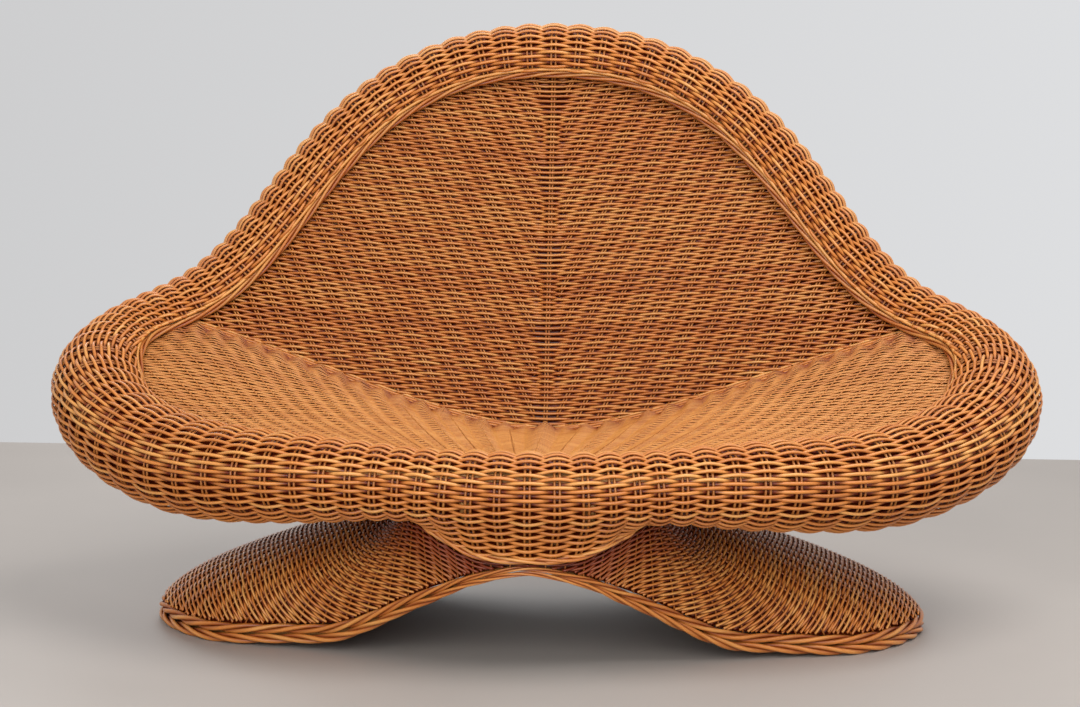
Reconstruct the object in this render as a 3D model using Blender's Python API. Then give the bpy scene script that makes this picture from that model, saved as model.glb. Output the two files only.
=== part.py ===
"""Woven rattan lounge armchair: a pole frame inside a double woven body that stands on two wide feet.

Metres, +Z up. The sitter faces -Y. Left and right are as seen from the front, so right is +X.
"""

import functools
import math

import bmesh
import bpy
import numpy as np
from mathutils import Vector

# Woven skins, and how far they tuck under or lap over each other
SKIN = 0.010
WEAVE_RIDGE = 0.002
LIP_TUCK = 0.008
LAP = 0.012
CREASE_SETBACK = 0.007

# Gaps between pieces
CLEARANCE = 0.0004
EASE = 0.0006
SEAM_GAP = 0.0026
LIP_EASE = 0.0015
LAP_GAP = 0.0022
HOOP_GAP = 0.0120
WAIST_EASE = 0.0042
WAIST_LIFT = 0.0022
POST_LIFT = 0.0012
POST_MARGIN = 0.003
RIB_STANDOFF = 0.011

# Rattan poles, as radii
RIM_POLE = 0.011
LIP_HOOP = 0.006
CREASE_RAIL = 0.011
SHELL_RIB = 0.008
SEAT_RIB = 0.007
BACK_RIB = 0.006
WAIST_HOOP = 0.010
FOOT_HOOP = 0.008
FOOT_RIB = 0.007
SEAT_POST = 0.009

# Wooden dowels that pin the poles
DOWEL = 0.003
DOWEL_DEPTH = 0.013
DOWEL_FIT = 0.0003

# Braided edges
LIP_BRAID = 0.006
BORDER_THICKNESS = 0.022
BORDER_HEIGHT = 0.029
BORDER_ROUNDING = 0.006
FOOT_HOOP_LIFT = 0.004

# Straight stretch and inset where two poles meet end to end on the middle line
SPLICE_STRAIGHT = 0.012
SPLICE_INSET = 0.002

# Crease between seat and back, from the centre to the right
CREASE_CENTRE = (0.0, 0.120, 0.265)
CREASE_INNER_HANDLE = (0.150, 0.120, 0.265)
CREASE_OUTER_HANDLE = (0.370, 0.150, 0.372)
BACK_RAKE = math.radians(18)
SEAT_RISE = math.radians(2.3)

# Shares of the run from the waist to the floor that shape a foot's swell
FOOT_TOP_OUT = 0.08
FOOT_TOP_DOWN = 0.26
FOOT_END_OUT = 0.15
FOOT_END_DOWN = 0.46

# Stations round the right half of the rim, from the front centre to the top of the back.
# rim: centre of the roll. radius: of the roll. lip, tail: where the roll's weave starts and ends, in
# degrees from straight out towards the sitter. face: lean of the sitter's side from upright, in degrees.
# waist: lower edge of the body, and the way it runs there. border: foot of the skirt, and its height.
STATIONS = {
    "front_centre": dict(
        rim=(0.000, -0.375, 0.247), radius=0.052, lip=125, tail=-30, face=0,
        waist=(0.000, -0.395, 0.158), run=(0.00, 0.25, -0.97), border=(0.000, -0.385, 0.139), height=0.014,
    ),
    "tongue_side": dict(
        rim=(0.085, -0.371, 0.249), radius=0.050, lip=125, tail=-32, face=0,
        waist=(0.078, -0.385, 0.166), run=(0.00, 0.22, -0.97), border=(0.072, -0.368, 0.122), height=0.016,
    ),
    "front_side": dict(
        rim=(0.165, -0.361, 0.255), radius=0.046, lip=125, tail=-52, face=0,
        waist=(0.152, -0.350, 0.205), run=(0.00, 0.20, -0.97), border=(0.138, -0.322, 0.086), height=0.022,
    ),
    "front_bend": dict(
        rim=(0.312, -0.322, 0.256), radius=0.055, lip=128, tail=-80, face=0,
        waist=(0.195, -0.235, 0.205), run=(0.08, -0.08, -0.99), border=(0.300, -0.240, 0.010), height=0.028,
    ),
    "arm_front": dict(
        rim=(0.520, -0.190, 0.260), radius=0.065, lip=142, tail=-95, face=0,
        waist=(0.200, -0.125, 0.208), run=(0.12, -0.05, -0.99),
        border=(0.470, -0.182, 0.000), height=BORDER_HEIGHT,
    ),
    "arm_tip": dict(
        rim=(0.662, -0.005, 0.333), radius=0.066, lip=150, tail=-86, face=5,
        waist=(0.195, -0.020, 0.208), run=(0.12, 0.00, -0.99),
        border=(0.562, 0.000, 0.000), height=BORDER_HEIGHT,
    ),
    "arm_rear": dict(
        rim=(0.645, 0.125, 0.392), radius=0.058, lip=142, tail=-54, face=25,
        waist=(0.185, 0.070, 0.205), run=(0.12, 0.05, -0.99),
        border=(0.510, 0.110, 0.000), height=BORDER_HEIGHT,
    ),
    "shoulder_low": dict(
        rim=(0.541, 0.205, 0.456), radius=0.051, lip=134, tail=-62, face=52,
        waist=(0.165, 0.145, 0.195), run=(0.08, 0.08, -0.99),
        border=(0.400, 0.185, 0.000), height=BORDER_HEIGHT,
    ),
    "shoulder": dict(
        rim=(0.404, 0.265, 0.611), radius=0.050, lip=130, tail=-72, face=68,
        waist=(0.130, 0.200, 0.175), run=(0.04, 0.00, -1.00), border=(0.290, 0.215, 0.014), height=0.028,
    ),
    "back_side": dict(
        rim=(0.282, 0.300, 0.750), radius=0.050, lip=130, tail=-90, face=72,
        waist=(0.090, 0.230, 0.160), run=(0.00, 0.00, -1.00), border=(0.190, 0.235, 0.050), height=0.022,
    ),
    "crown_side": dict(
        rim=(0.145, 0.320, 0.824), radius=0.050, lip=131, tail=-90, face=72,
        waist=(0.045, 0.245, 0.147), run=(0.00, 0.00, -1.00), border=(0.095, 0.246, 0.085), height=0.018,
    ),
    "back_top": dict(
        rim=(0.000, 0.325, 0.845), radius=0.050, lip=132, tail=-90, face=72,
        waist=(0.000, 0.250, 0.143), run=(0.00, 0.00, -1.00), border=(0.000, 0.248, 0.105), height=0.016,
    ),
}
CORNER_SHARE = 0.55
PANEL_END = 0.94

# Facets along and across the skins
FRONT_COLUMNS = 8
ARM_COLUMNS = 12
BACK_COLUMNS = 12
ROLL_ROWS = 9
SHELL_ROWS = 7
PANEL_ROWS = 8
PANEL_SPLIT = 2
FOOT_ROWS = 7

# Rows of the roll's facets that the rim pole lies behind and the shell ribs end at
RIM_POLE_ROW = 5
RIB_END_ROW = 7

# Columns of the rim's facets, counted from the centre, that the panels' side ribs lie behind
SEAT_RIB_COLUMNS = (5,)
BACK_RIB_COLUMNS = (4, 8)

# Least share of a panel between its last two columns, and the small step that slopes are taken over
COLUMN_MARGIN = 0.02
NUDGE = 1e-3

# Materials: colour, roughness
FINISHES = {
    "woven_rattan": ((0.58, 0.30, 0.11), 0.45),
    "seat_weave": ((0.64, 0.37, 0.16), 0.50),
    "braid": ((0.50, 0.24, 0.08), 0.45),
    "rattan_pole": ((0.52, 0.31, 0.14), 0.50),
    "dowel_wood": ((0.62, 0.44, 0.26), 0.60),
}


# Curves round the chair

def mirrored(values, keys):
    """The row of one station's numbers with its X values turned round."""
    row = {key: values[key] for key in keys}
    for key in ("rim", "waist", "run", "border"):
        if key in row:
            row[key] = (-row[key][0], *row[key][1:])
    return row


def closed_rows(keys):
    right = list(STATIONS.values())
    left = [mirrored(values, keys) for values in right[-2:0:-1]]
    return np.array([np.hstack([values[key] for key in keys]) for values in right + left], float)


RIM_ROWS = closed_rows(["rim"])
STEPS = np.linalg.norm(np.roll(RIM_ROWS, -1, axis=0) - RIM_ROWS, axis=1)
KNOTS = np.concatenate([[0.0], np.cumsum(STEPS)[:-1]]) / STEPS.sum()
SPANS = np.append(np.diff(KNOTS), 1.0 - KNOTS[-1])


def spline_slopes(rows):
    """Slopes at the stations of the smoothest closed curve through rows."""
    count = len(rows)
    system = np.zeros((count, count))
    right_side = np.zeros_like(rows)
    for i in range(count):
        before, after, ahead = SPANS[i - 1], SPANS[i], (i + 1) % count
        system[i, i - 1] = 1 / before
        system[i, i] = 2 / before + 2 / after
        system[i, ahead] = 1 / after
        right_side[i] = 3 * ((rows[i] - rows[i - 1]) / before**2 + (rows[ahead] - rows[i]) / after**2)
    return np.linalg.solve(system, right_side)


def steady_slopes(rows):
    """Slopes that keep a curve between its stations, and flat between two that are equal."""
    slopes = np.zeros_like(rows)
    rises = (np.roll(rows, -1, axis=0) - rows) / SPANS[:, None]
    for i in range(len(rows)):
        before, after = rises[i - 1], rises[i]
        same = before * after > 0
        slopes[i][same] = 2 * before[same] * after[same] / (before[same] + after[same])
    return slopes


def closed_curve(keys, slopes_of):
    """A function of u, from 0 at the front centre by the right arm round to 1, giving value and slope."""
    rows = closed_rows(keys)
    slopes = slopes_of(rows)

    def at(u):
        u %= 1.0
        i = int(np.searchsorted(KNOTS, u, side="right")) - 1
        j, span = (i + 1) % len(rows), SPANS[i]
        t = (u - KNOTS[i]) / span
        value = (
            (1 + 2 * t) * (1 - t) ** 2 * rows[i] + t * (1 - t) ** 2 * span * slopes[i]
            + t**2 * (3 - 2 * t) * rows[j] + t**2 * (t - 1) * span * slopes[j]
        )
        slope = (
            6 * t * (t - 1) / span * (rows[i] - rows[j])
            + (1 - t) * (1 - 3 * t) * slopes[i] + t * (3 * t - 2) * slopes[j]
        )
        return value, slope

    return at


rim_at = closed_curve(["rim"], spline_slopes)
waist_at = closed_curve(["waist", "run"], spline_slopes)
border_plan_at = closed_curve(["border"], spline_slopes)
border_rise_at = closed_curve(["border", "height"], steady_slopes)
roll_at = closed_curve(["radius", "lip", "tail", "face"], steady_slopes)


def unit(vector):
    return vector / np.linalg.norm(vector)


def u_of(name):
    """Place of a station on the right half of the rim."""
    return KNOTS[list(STATIONS).index(name)]


def hermite(start, start_pull, end, end_pull, t):
    return (
        (1 + 2 * t) * (1 - t) ** 2 * start + t * (1 - t) ** 2 * start_pull
        + t**2 * (3 - 2 * t) * end + t**2 * (t - 1) * end_pull
    )


def bezier(points, t):
    a, b, c, d = (np.asarray(point, float) for point in points)
    return (1 - t) ** 3 * a + 3 * t * (1 - t) ** 2 * b + 3 * t**2 * (1 - t) * c + t**3 * d


def grid_normals(points):
    """Unit normals of a grid of points, from its columns and rows."""
    along = np.gradient(points, axis=0)
    across = np.gradient(points, axis=1)
    normals = np.cross(along, across)
    return normals / np.linalg.norm(normals, axis=2, keepdims=True)


# The rolled rim and the shell that hangs from it

@functools.lru_cache(None)
def rim_frame(u):
    """Centre of the roll, with the way out and the way towards the sitter."""
    centre, slope = rim_at(u)
    lean = math.radians(roll_at(u)[0][3])
    along = unit(slope)
    face = np.array([0.0, -math.sin(lean), math.cos(lean)])
    face = unit(face - along * (face @ along))
    return centre, np.cross(along, face), face


def in_roll(u, reach, angle):
    """A point in the roll's cross-section, at a reach from its centre and an angle in degrees."""
    centre, out, face = rim_frame(u)
    turn = math.radians(angle)
    return centre + reach * (math.cos(turn) * out + math.sin(turn) * face)


def roll_reach(u, inset):
    return roll_at(u)[0][0] - inset


def tail_point(u, v):
    """Shell below the roll, from v = 0 at the roll to v = 1 at the waist."""
    radius, _, tail, _ = roll_at(u)[0]
    _, out, face = rim_frame(u)
    turn = math.radians(tail)
    start = in_roll(u, radius, tail)
    waist = waist_at(u)[0]
    length = np.linalg.norm(waist[:3] - start)
    leave = math.sin(turn) * out - math.cos(turn) * face
    return hermite(start, leave * length, waist[:3], unit(waist[3:]) * length, v)


def tail_normal(u, v):
    if v <= 0:
        return unit(in_roll(u, 1, roll_at(u)[0][2]) - rim_frame(u)[0])
    along = tail_point(u + NUDGE, v) - tail_point(u - NUDGE, v)
    down = tail_point(u, min(v + NUDGE, 1)) - tail_point(u, max(v - NUDGE, 0))
    return unit(np.cross(down, along))


@functools.lru_cache(None)
def above_waist(u, distance):
    """Share v of the shell that lies a distance up its surface from the waist."""
    shares = np.linspace(1, 0, 81)
    points = np.array([tail_point(u, v) for v in shares])
    run = np.concatenate([[0], np.cumsum(np.linalg.norm(np.diff(points, axis=0), axis=1))])
    return float(np.interp(distance, run, shares))


def in_shell(u, v, inset):
    return tail_point(u, v) - tail_normal(u, v) * inset


def skirt_point(u, w):
    """Middle of a foot's skin: w from -1 to 0 laps inside the shell, and from 0 to 1 runs to the border."""
    if w <= 0:
        return in_shell(u, above_waist(u, -w * LAP), SKIN + LAP_GAP)
    start = in_shell(u, 1, SKIN + LAP_GAP)
    end = border_top(u) + np.array([0, 0, CLEARANCE])
    fall = end - start
    out = fall * (1, 1, 0)
    down = fall * (0, 0, 1)
    first = start + out * FOOT_TOP_OUT + down * FOOT_TOP_DOWN
    last = end - out * FOOT_END_OUT - down * FOOT_END_DOWN
    return bezier((start, first, last, end), w)


def skirt_normal(u, w):
    if w <= 0:
        return tail_normal(u, above_waist(u, -w * LAP))
    if w >= 1:
        return border_out(u)
    along = skirt_point(u + NUDGE, w) - skirt_point(u - NUDGE, w)
    down = skirt_point(u, w + NUDGE) - skirt_point(u, w - NUDGE)
    return unit(np.cross(down, along))


def border_foot(u):
    """Middle of the border's underside."""
    plan = border_plan_at(u)[0]
    return np.array([plan[0], plan[1], border_rise_at(u)[0][2]])


def border_top(u):
    return border_foot(u) + np.array([0, 0, border_rise_at(u)[0][3]])


def border_out(u):
    slope = border_plan_at(u)[1]
    return unit(np.array([slope[1], -slope[0], 0.0]))


# The seat and the back, which run from the lip of the roll to the crease

def lip_reach(u):
    return roll_reach(u, SKIN / 2 + CLEARANCE + LIP_HOOP)


@functools.lru_cache(None)
def panel_edge(u):
    centre, out, face = rim_frame(u)
    turn = math.radians(roll_at(u)[0][1])
    reach = lip_reach(u)
    level = reach * math.sin(turn) - LIP_HOOP - CLEARANCE - LIP_EASE - SKIN / 2
    return centre + out * (reach * math.cos(turn) + LIP_TUCK) + face * level


CORNER = u_of("arm_rear") + CORNER_SHARE * (u_of("shoulder_low") - u_of("arm_rear"))


@functools.lru_cache(None)
def crease_point(share):
    """The crease, from share -1 at the left corner to 1 at the right one."""
    points = (CREASE_CENTRE, CREASE_INNER_HANDLE, CREASE_OUTER_HANDLE, panel_edge(CORNER))
    point = bezier(points, abs(share))
    return point * (math.copysign(1, share), 1, 1)


@functools.lru_cache(None)
def crease_frame(share):
    """Ways from the crease along the seat and up the back, and the normals of both."""
    along = unit(crease_point(min(share + NUDGE, 1)) - crease_point(max(share - NUDGE, -1)))
    ways = []
    for lean in (SEAT_RISE - math.pi / 2, BACK_RAKE):
        way = np.array([0, math.sin(lean), math.cos(lean)])
        ways.append(unit(way - along * (way @ along)))
    seat, back = ways
    return seat, back, np.cross(seat, along), np.cross(along, back)


def panel_line(u, share, back, v):
    """A point on the line of a panel from the lip at u, v = 0, to the crease, v = 1."""
    edge = panel_edge(u)
    way = crease_frame(share)[1 if back else 0]
    end = crease_point(share) + way * CREASE_SETBACK
    length = np.linalg.norm(end - edge)
    return hermite(edge, -rim_frame(u)[1] * length, end, -way * length, v)


def panel_point(place, v, back):
    """Seat or back panel: place runs from -1 at the left corner to 1 at the right one."""
    if back:
        u = 0.5 - place * (0.5 - CORNER)
    else:
        u = place * CORNER
    return panel_line(u, place, back, v)


def behind_panel(place, shares, back, inset):
    """Points along one line of a panel, at an inset, or one inset for each, behind its middle."""
    step = -NUDGE if back else NUDGE
    points = []
    for v, depth in zip(shares, np.broadcast_to(inset, len(shares))):
        along = panel_point(place + step, v, back) - panel_point(place - step, v, back)
        across = panel_point(place, min(v + NUDGE, 1), back) - panel_point(place, max(v - NUDGE, 0), back)
        points.append(panel_point(place, v, back) - unit(np.cross(along, across)) * depth)
    return points


# Blender objects

def clear_scene():
    for obj in list(bpy.data.objects):
        bpy.data.objects.remove(obj)


def new_collection(name):
    collection = bpy.data.collections.new(name)
    bpy.context.scene.collection.children.link(collection)
    return collection


def new_material(name, colour, roughness):
    material = bpy.data.materials.new(name)
    material.use_nodes = True
    shader = material.node_tree.nodes["Principled BSDF"]
    shader.inputs["Base Color"].default_value = (*colour, 1)
    shader.inputs["Roughness"].default_value = roughness
    return material


clear_scene()
PARTS = new_collection("rattan_armchair")
CUTTERS = new_collection("cutters")
FINISH = {name: new_material(name, *look) for name, look in FINISHES.items()}
ROOT = bpy.data.objects.new("armchair", None)
PARTS.objects.link(ROOT)


def place(name, data, finish):
    obj = bpy.data.objects.new(name, data)
    obj.parent = ROOT
    data.materials.append(FINISH[finish])
    PARTS.objects.link(obj)
    return obj


def skin(name, front, behind, finish):
    """A shell between two grids of points: a flat grid, extruded, then shaped to both."""
    columns, rows = front.shape[0] - 1, front.shape[1] - 1
    work = bmesh.new()
    bmesh.ops.create_grid(work, x_segments=columns, y_segments=rows, size=0.5)
    grown = bmesh.ops.extrude_face_region(work, geom=work.faces[:])["geom"]
    for vertex in grown:
        if isinstance(vertex, bmesh.types.BMVert):
            vertex.co.z = 1
    for vertex in work.verts:
        i = round((vertex.co.x + 0.5) * columns)
        j = round((vertex.co.y + 0.5) * rows)
        vertex.co = (front if vertex.co.z > 0.5 else behind)[i, j]
    return place(name, closed_mesh(name, work), finish)


def closed_mesh(name, work):
    """A mesh of a closed body, with its faces turned outwards."""
    bmesh.ops.recalc_face_normals(work, faces=work.faces[:])
    if work.calc_volume(signed=True) < 0:
        bmesh.ops.reverse_faces(work, faces=work.faces[:])
    mesh = bpy.data.meshes.new(name)
    work.to_mesh(mesh)
    work.free()
    return mesh


def pole_curve(name, points, radius, sides, cyclic=False):
    curve = bpy.data.curves.new(name, "CURVE")
    curve.dimensions = "3D"
    curve.bevel_depth = radius
    curve.bevel_resolution = (sides - 4) // 2
    curve.use_fill_caps = not cyclic
    spline = curve.splines.new("POLY")
    spline.points.add(len(points) - 1)
    for target, point in zip(spline.points, points):
        target.co = (*point, 1)
    spline.use_cyclic_u = cyclic
    return curve


def pole(name, points, radius, sides=6, cyclic=False):
    """A bent rattan pole along a list of points."""
    return place(name, pole_curve(name, points, radius, sides, cyclic), "rattan_pole")


def solid_pole(name, points, radius, sides=8, cyclic=False):
    """A bent pole made a mesh, so that it can be bored."""
    guide = bpy.data.objects.new(name + "_guide", pole_curve(name + "_guide", points, radius, sides, cyclic))
    CUTTERS.objects.link(guide)
    bpy.context.view_layer.update()
    mesh = bpy.data.meshes.new_from_object(guide.evaluated_get(bpy.context.evaluated_depsgraph_get()))
    bpy.data.objects.remove(guide)
    work = bmesh.new()
    work.from_mesh(mesh)
    bmesh.ops.remove_doubles(work, verts=work.verts[:], dist=1e-6)
    return place(name, closed_mesh(name, work), "rattan_pole")


def rod(name, middle, way, radius, length, finish=None, sides=12):
    """A straight round rod, centred on a point. Without a finish it is a cutter."""
    mesh = bpy.data.meshes.new(name)
    work = bmesh.new()
    bmesh.ops.create_cone(work, cap_ends=True, segments=sides, radius1=radius, radius2=radius, depth=length)
    work.to_mesh(mesh)
    work.free()
    if finish:
        obj = place(name, mesh, finish)
    else:
        obj = bpy.data.objects.new(name, mesh)
        obj.parent = ROOT
        obj.hide_render = True
        obj.display_type = "WIRE"
        CUTTERS.objects.link(obj)
    obj.rotation_euler = Vector(way).to_track_quat("Z", "Y").to_euler()
    obj.location = middle
    return obj


def bore(obj, cutter):
    cut = obj.modifiers.new(cutter.name, "BOOLEAN")
    cut.operation = "DIFFERENCE"
    cut.solver = "EXACT"
    cut.object = cutter


def sweep(name, rings, finish):
    """A closed solid through rings of points, with a flat face at each end."""
    work = bmesh.new()
    loops = [[work.verts.new(point) for point in ring] for ring in rings]
    for near, far in zip(loops, loops[1:]):
        for i in range(len(near)):
            j = (i + 1) % len(near)
            work.faces.new((near[i], near[j], far[j], far[i]))
    work.faces.new(loops[0])
    work.faces.new(loops[-1])
    return place(name, closed_mesh(name, work), finish)


# Places round the rim where the facets of all skins line up

def right_columns():
    bend, shoulder = u_of("front_bend"), u_of("shoulder_low")
    front = np.linspace(0, bend, FRONT_COLUMNS + 1)
    arm = np.linspace(bend, shoulder, ARM_COLUMNS + 1)
    back = np.linspace(shoulder, 0.5, BACK_COLUMNS + 1)
    return np.concatenate([front, arm[1:], back[1:]])


RIGHT_COLUMNS = right_columns()
ALL_COLUMNS = np.concatenate([RIGHT_COLUMNS, 1 - RIGHT_COLUMNS[-2:0:-1]])


def columns_between(start, end, gap=SEAM_GAP):
    """Columns from start to end, drawn in at both ends by half of a seam."""
    half = gap / 2 / STEPS.sum()
    every = np.concatenate([ALL_COLUMNS - 1, ALL_COLUMNS])
    inner = [u for u in every if start + 1e-6 < u < end - 1e-6]
    return [start + half, *inner, end - half]


def nearest_column(name):
    return RIGHT_COLUMNS[np.argmin(abs(RIGHT_COLUMNS - u_of(name)))]


SIDES = {"left": -1, "right": 1}
SECTORS = {
    "front": (-u_of("front_bend"), u_of("front_bend")),
    "right_arm": (u_of("front_bend"), u_of("shoulder_low")),
    "left_arm": (-u_of("shoulder_low"), -u_of("front_bend")),
    "back": (u_of("shoulder_low"), 1 - u_of("shoulder_low")),
}
SHELL_NAMES = {
    "front": "front_apron_weave",
    "right_arm": "right_underarm_weave",
    "left_arm": "left_underarm_weave",
    "back": "rear_shell_weave",
}


# Skins of the body

def roll_angles(u):
    _, lip, tail, _ = roll_at(u)[0]
    return np.linspace(lip, tail, ROLL_ROWS + 1)


@functools.lru_cache(None)
def shell_shares(u):
    """Rows of the shell: from the roll to the top of the waist hoop, the top of the lap, and the waist."""
    start = SEAM_GAP / 2 / np.linalg.norm(waist_at(u)[0][:3] - tail_point(u, 0))
    hoop_top = above_waist(u, LAP + 2 * (WAIST_HOOP + WAIST_LIFT))
    return np.array([*np.linspace(start, hoop_top, SHELL_ROWS - 1), above_waist(u, LAP), 1.0])


def make_rolls():
    for sector, (start, end) in SECTORS.items():
        places = columns_between(start, end)
        faces = [
            np.array([[in_roll(u, roll_at(u)[0][0] + side, a) for a in roll_angles(u)] for u in places])
            for side in (SKIN / 2, -SKIN / 2)
        ]
        skin(sector + "_roll_weave", *faces, "woven_rattan")


def make_shells():
    for sector, (start, end) in SECTORS.items():
        places = columns_between(start, end)
        middles, normals = [], []
        for u in places:
            shares = shell_shares(u)
            middles.append([tail_point(u, v) for v in shares])
            normals.append([tail_normal(u, 0), *(tail_normal(u, v) for v in shares[1:])])
        middles, normals = np.array(middles), np.array(normals) * SKIN / 2
        skin(SHELL_NAMES[sector], middles + normals, middles - normals, "woven_rattan")


def panel_places(back):
    """Columns of the seat or back panel, as shares of the way from its centre to its corners."""
    if back:
        right = [(0.5 - u) / (0.5 - CORNER) for u in RIGHT_COLUMNS if u > CORNER]
    else:
        right = [u / CORNER for u in RIGHT_COLUMNS if u < CORNER]
    right = sorted(share for share in right if share < PANEL_END - COLUMN_MARGIN) + [PANEL_END]
    finer = np.linspace(0, len(right) - 1, PANEL_SPLIT * (len(right) - 1) + 1)
    right = list(np.interp(finer, np.arange(len(right)), right))
    return [-share for share in right[:0:-1]] + right


def panel_shares():
    return np.linspace(0, 1, PANEL_ROWS + 1)


def panel_face(places, back):
    """The sitter's face of a panel, woven in ridges from lip to crease that fade out at both ends."""
    ridge = WEAVE_RIDGE * np.sin(math.pi * panel_shares())
    centre = len(places) // 2
    lines = []
    for column, spot in enumerate(places):
        rise = ridge if (column - centre) % 2 == 0 else -ridge
        lines.append(behind_panel(spot, panel_shares(), back, -SKIN / 2 - rise))
    return np.array(lines)


def make_panel(name, back, finish):
    places = panel_places(back)
    if back:
        places = places[::-1]
    behind = np.array([behind_panel(p, panel_shares(), back, SKIN / 2) for p in places])
    skin(name, panel_face(places, back), behind, finish)


def skirt_shares():
    return [-1.0, 0.0, *np.linspace(0, 1, FOOT_ROWS + 1)[1:]]


def foot_columns(side):
    right = np.array(columns_between(0, 0.5))
    return right if side > 0 else 1 - right


def make_feet():
    for side_name, side in SIDES.items():
        places = foot_columns(side)
        middles = np.array([[skirt_point(u, w) for w in skirt_shares()] for u in places])
        normals = np.array([[skirt_normal(u, w) for w in skirt_shares()] for u in places]) * SKIN / 2
        skin(side_name + "_foot_weave", middles + normals, middles - normals, "woven_rattan")


# Braided edges

def border_ring(u):
    foot, out = border_foot(u), border_out(u)
    height = border_rise_at(u)[0][3]
    half = BORDER_THICKNESS / 2
    cut = min(BORDER_ROUNDING, height / 3)
    corners = [
        (half - cut, 0), (half, cut), (half, height - cut), (half - cut, height),
        (cut - half, height), (-half, height - cut), (-half, cut), (cut - half, 0),
    ]
    return [foot + out * across + np.array([0, 0, up]) for across, up in corners]


def make_borders():
    for side_name, side in SIDES.items():
        sweep(side_name + "_foot_border", [border_ring(u) for u in foot_columns(side)], "braid")


def make_lip_braid():
    points = []
    for u in ALL_COLUMNS:
        radius, lip, _, _ = roll_at(u)[0]
        _, out, face = rim_frame(u)
        turn = math.radians(lip)
        onward = math.cos(turn) * face - math.sin(turn) * out
        points.append(in_roll(u, radius, lip) + onward * (LIP_BRAID + CLEARANCE))
    place("lip_braid", pole_curve("lip_braid", points, LIP_BRAID, 6, cyclic=True), "braid")


# Poles of the rim and the lip

def rim_pole_point(u, inset=0.0):
    reach = roll_reach(u, SKIN / 2 + EASE + RIM_POLE + inset)
    return in_roll(u, reach, roll_angles(u)[RIM_POLE_ROW])


def splice_ends(middle, side):
    """Points at the end of a pole that meets its twin on the middle line, from the line outwards."""
    return [middle + np.array([side * reach, 0, 0]) for reach in (CLEARANCE / 2, SPLICE_STRAIGHT)]


def make_rim_poles():
    poles = []
    for side_name, side in SIDES.items():
        points = splice_ends(rim_pole_point(0, SPLICE_INSET), side)
        points += [rim_pole_point(side * u) for u in RIGHT_COLUMNS[1:-1]]
        points += splice_ends(rim_pole_point(0.5, SPLICE_INSET), side)[::-1]
        poles.append(solid_pole(side_name + "_rim_pole", points, RIM_POLE))
    for end_name, u in (("front", 0), ("back", 0.5)):
        splice = rim_pole_point(u, SPLICE_INSET)
        across = (1, 0, 0)
        rod(end_name + "_rim_dowel", splice, across, DOWEL, 2 * DOWEL_DEPTH, "dowel_wood")
        hole = rod(
            end_name + "_rim_bore", splice, across, DOWEL + DOWEL_FIT, 2 * (DOWEL_DEPTH + DOWEL_FIT)
        )
        for obj in poles:
            bore(obj, hole)


def make_lip_hoops():
    for name, start, end in (("seat_lip_hoop", -CORNER, CORNER), ("back_lip_hoop", CORNER, 1 - CORNER)):
        places = columns_between(start, end, HOOP_GAP)
        pole(name, [in_roll(u, lip_reach(u), roll_at(u)[0][1]) for u in places], LIP_HOOP)


# Poles inside the body

def make_shell_rib(name, u):
    """A pole behind the shell, from above the waist hoop up into the roll."""
    inset = SKIN / 2 + CLEARANCE + SHELL_RIB
    lowest = above_waist(u, LAP + 2 * WAIST_HOOP + RIB_STANDOFF)
    shares = [lowest, *shell_shares(u)[-4::-1]]
    points = [in_shell(u, v, inset) for v in shares]
    angles = roll_angles(u)[-2:RIB_END_ROW - 1:-1]
    points += [in_roll(u, roll_reach(u, inset), angle) for angle in angles]
    pole(name, points, SHELL_RIB, 8)


def make_shell_ribs():
    make_shell_rib("rear_centre_rib", 0.5)
    stations = {"front": "tongue_side", "arm_front": "arm_front", "arm_rear": "arm_rear", "rear": "back_side"}
    for rib, station in stations.items():
        for side_name, side in SIDES.items():
            make_shell_rib(f"{side_name}_{rib}_rib", side * nearest_column(station))


def waist_hoop_point(u):
    inset = SKIN / 2 + WAIST_EASE + WAIST_HOOP
    top, low = shell_shares(u)[-3], shell_shares(u)[-2]
    return (in_shell(u, top, inset) + in_shell(u, low, inset)) / 2


def under_facets(back):
    """Points spread over the hidden facets of a panel, for either way that its quads may be split."""
    grid = np.array([behind_panel(p, panel_shares(), back, SKIN / 2) for p in panel_places(back)])
    corners = grid[:-1, :-1], grid[1:, :-1], grid[1:, 1:], grid[:-1, 1:]
    steps = np.linspace(0, 1, 9)
    points = []
    for a, b, c in ((0, 1, 2), (0, 2, 3), (0, 1, 3), (1, 2, 3)):
        for s in steps:
            for t in steps[steps <= 1 - s + 1e-9]:
                points.append((corners[a] * (1 - s - t) + corners[b] * s + corners[c] * t).reshape(-1, 3))
    return np.concatenate(points)


def make_waist_and_posts():
    hoop = solid_pole("waist_hoop", [waist_hoop_point(u) for u in ALL_COLUMNS], WAIST_HOOP, cyclic=True)
    under_seat = under_facets(False)
    for station, spot in (("front_bend", "front"), ("arm_tip", "rear")):
        for side_name, side in SIDES.items():
            foot = waist_hoop_point(side * nearest_column(station))
            near = np.linalg.norm(under_seat[:, :2] - foot[:2], axis=1) < SEAT_POST + POST_MARGIN
            top = under_seat[near][:, 2].min() - CLEARANCE
            bottom = foot[2] + WAIST_HOOP + POST_LIFT
            seat_post(f"{side_name}_{spot}", foot, bottom, top, hoop)


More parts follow.
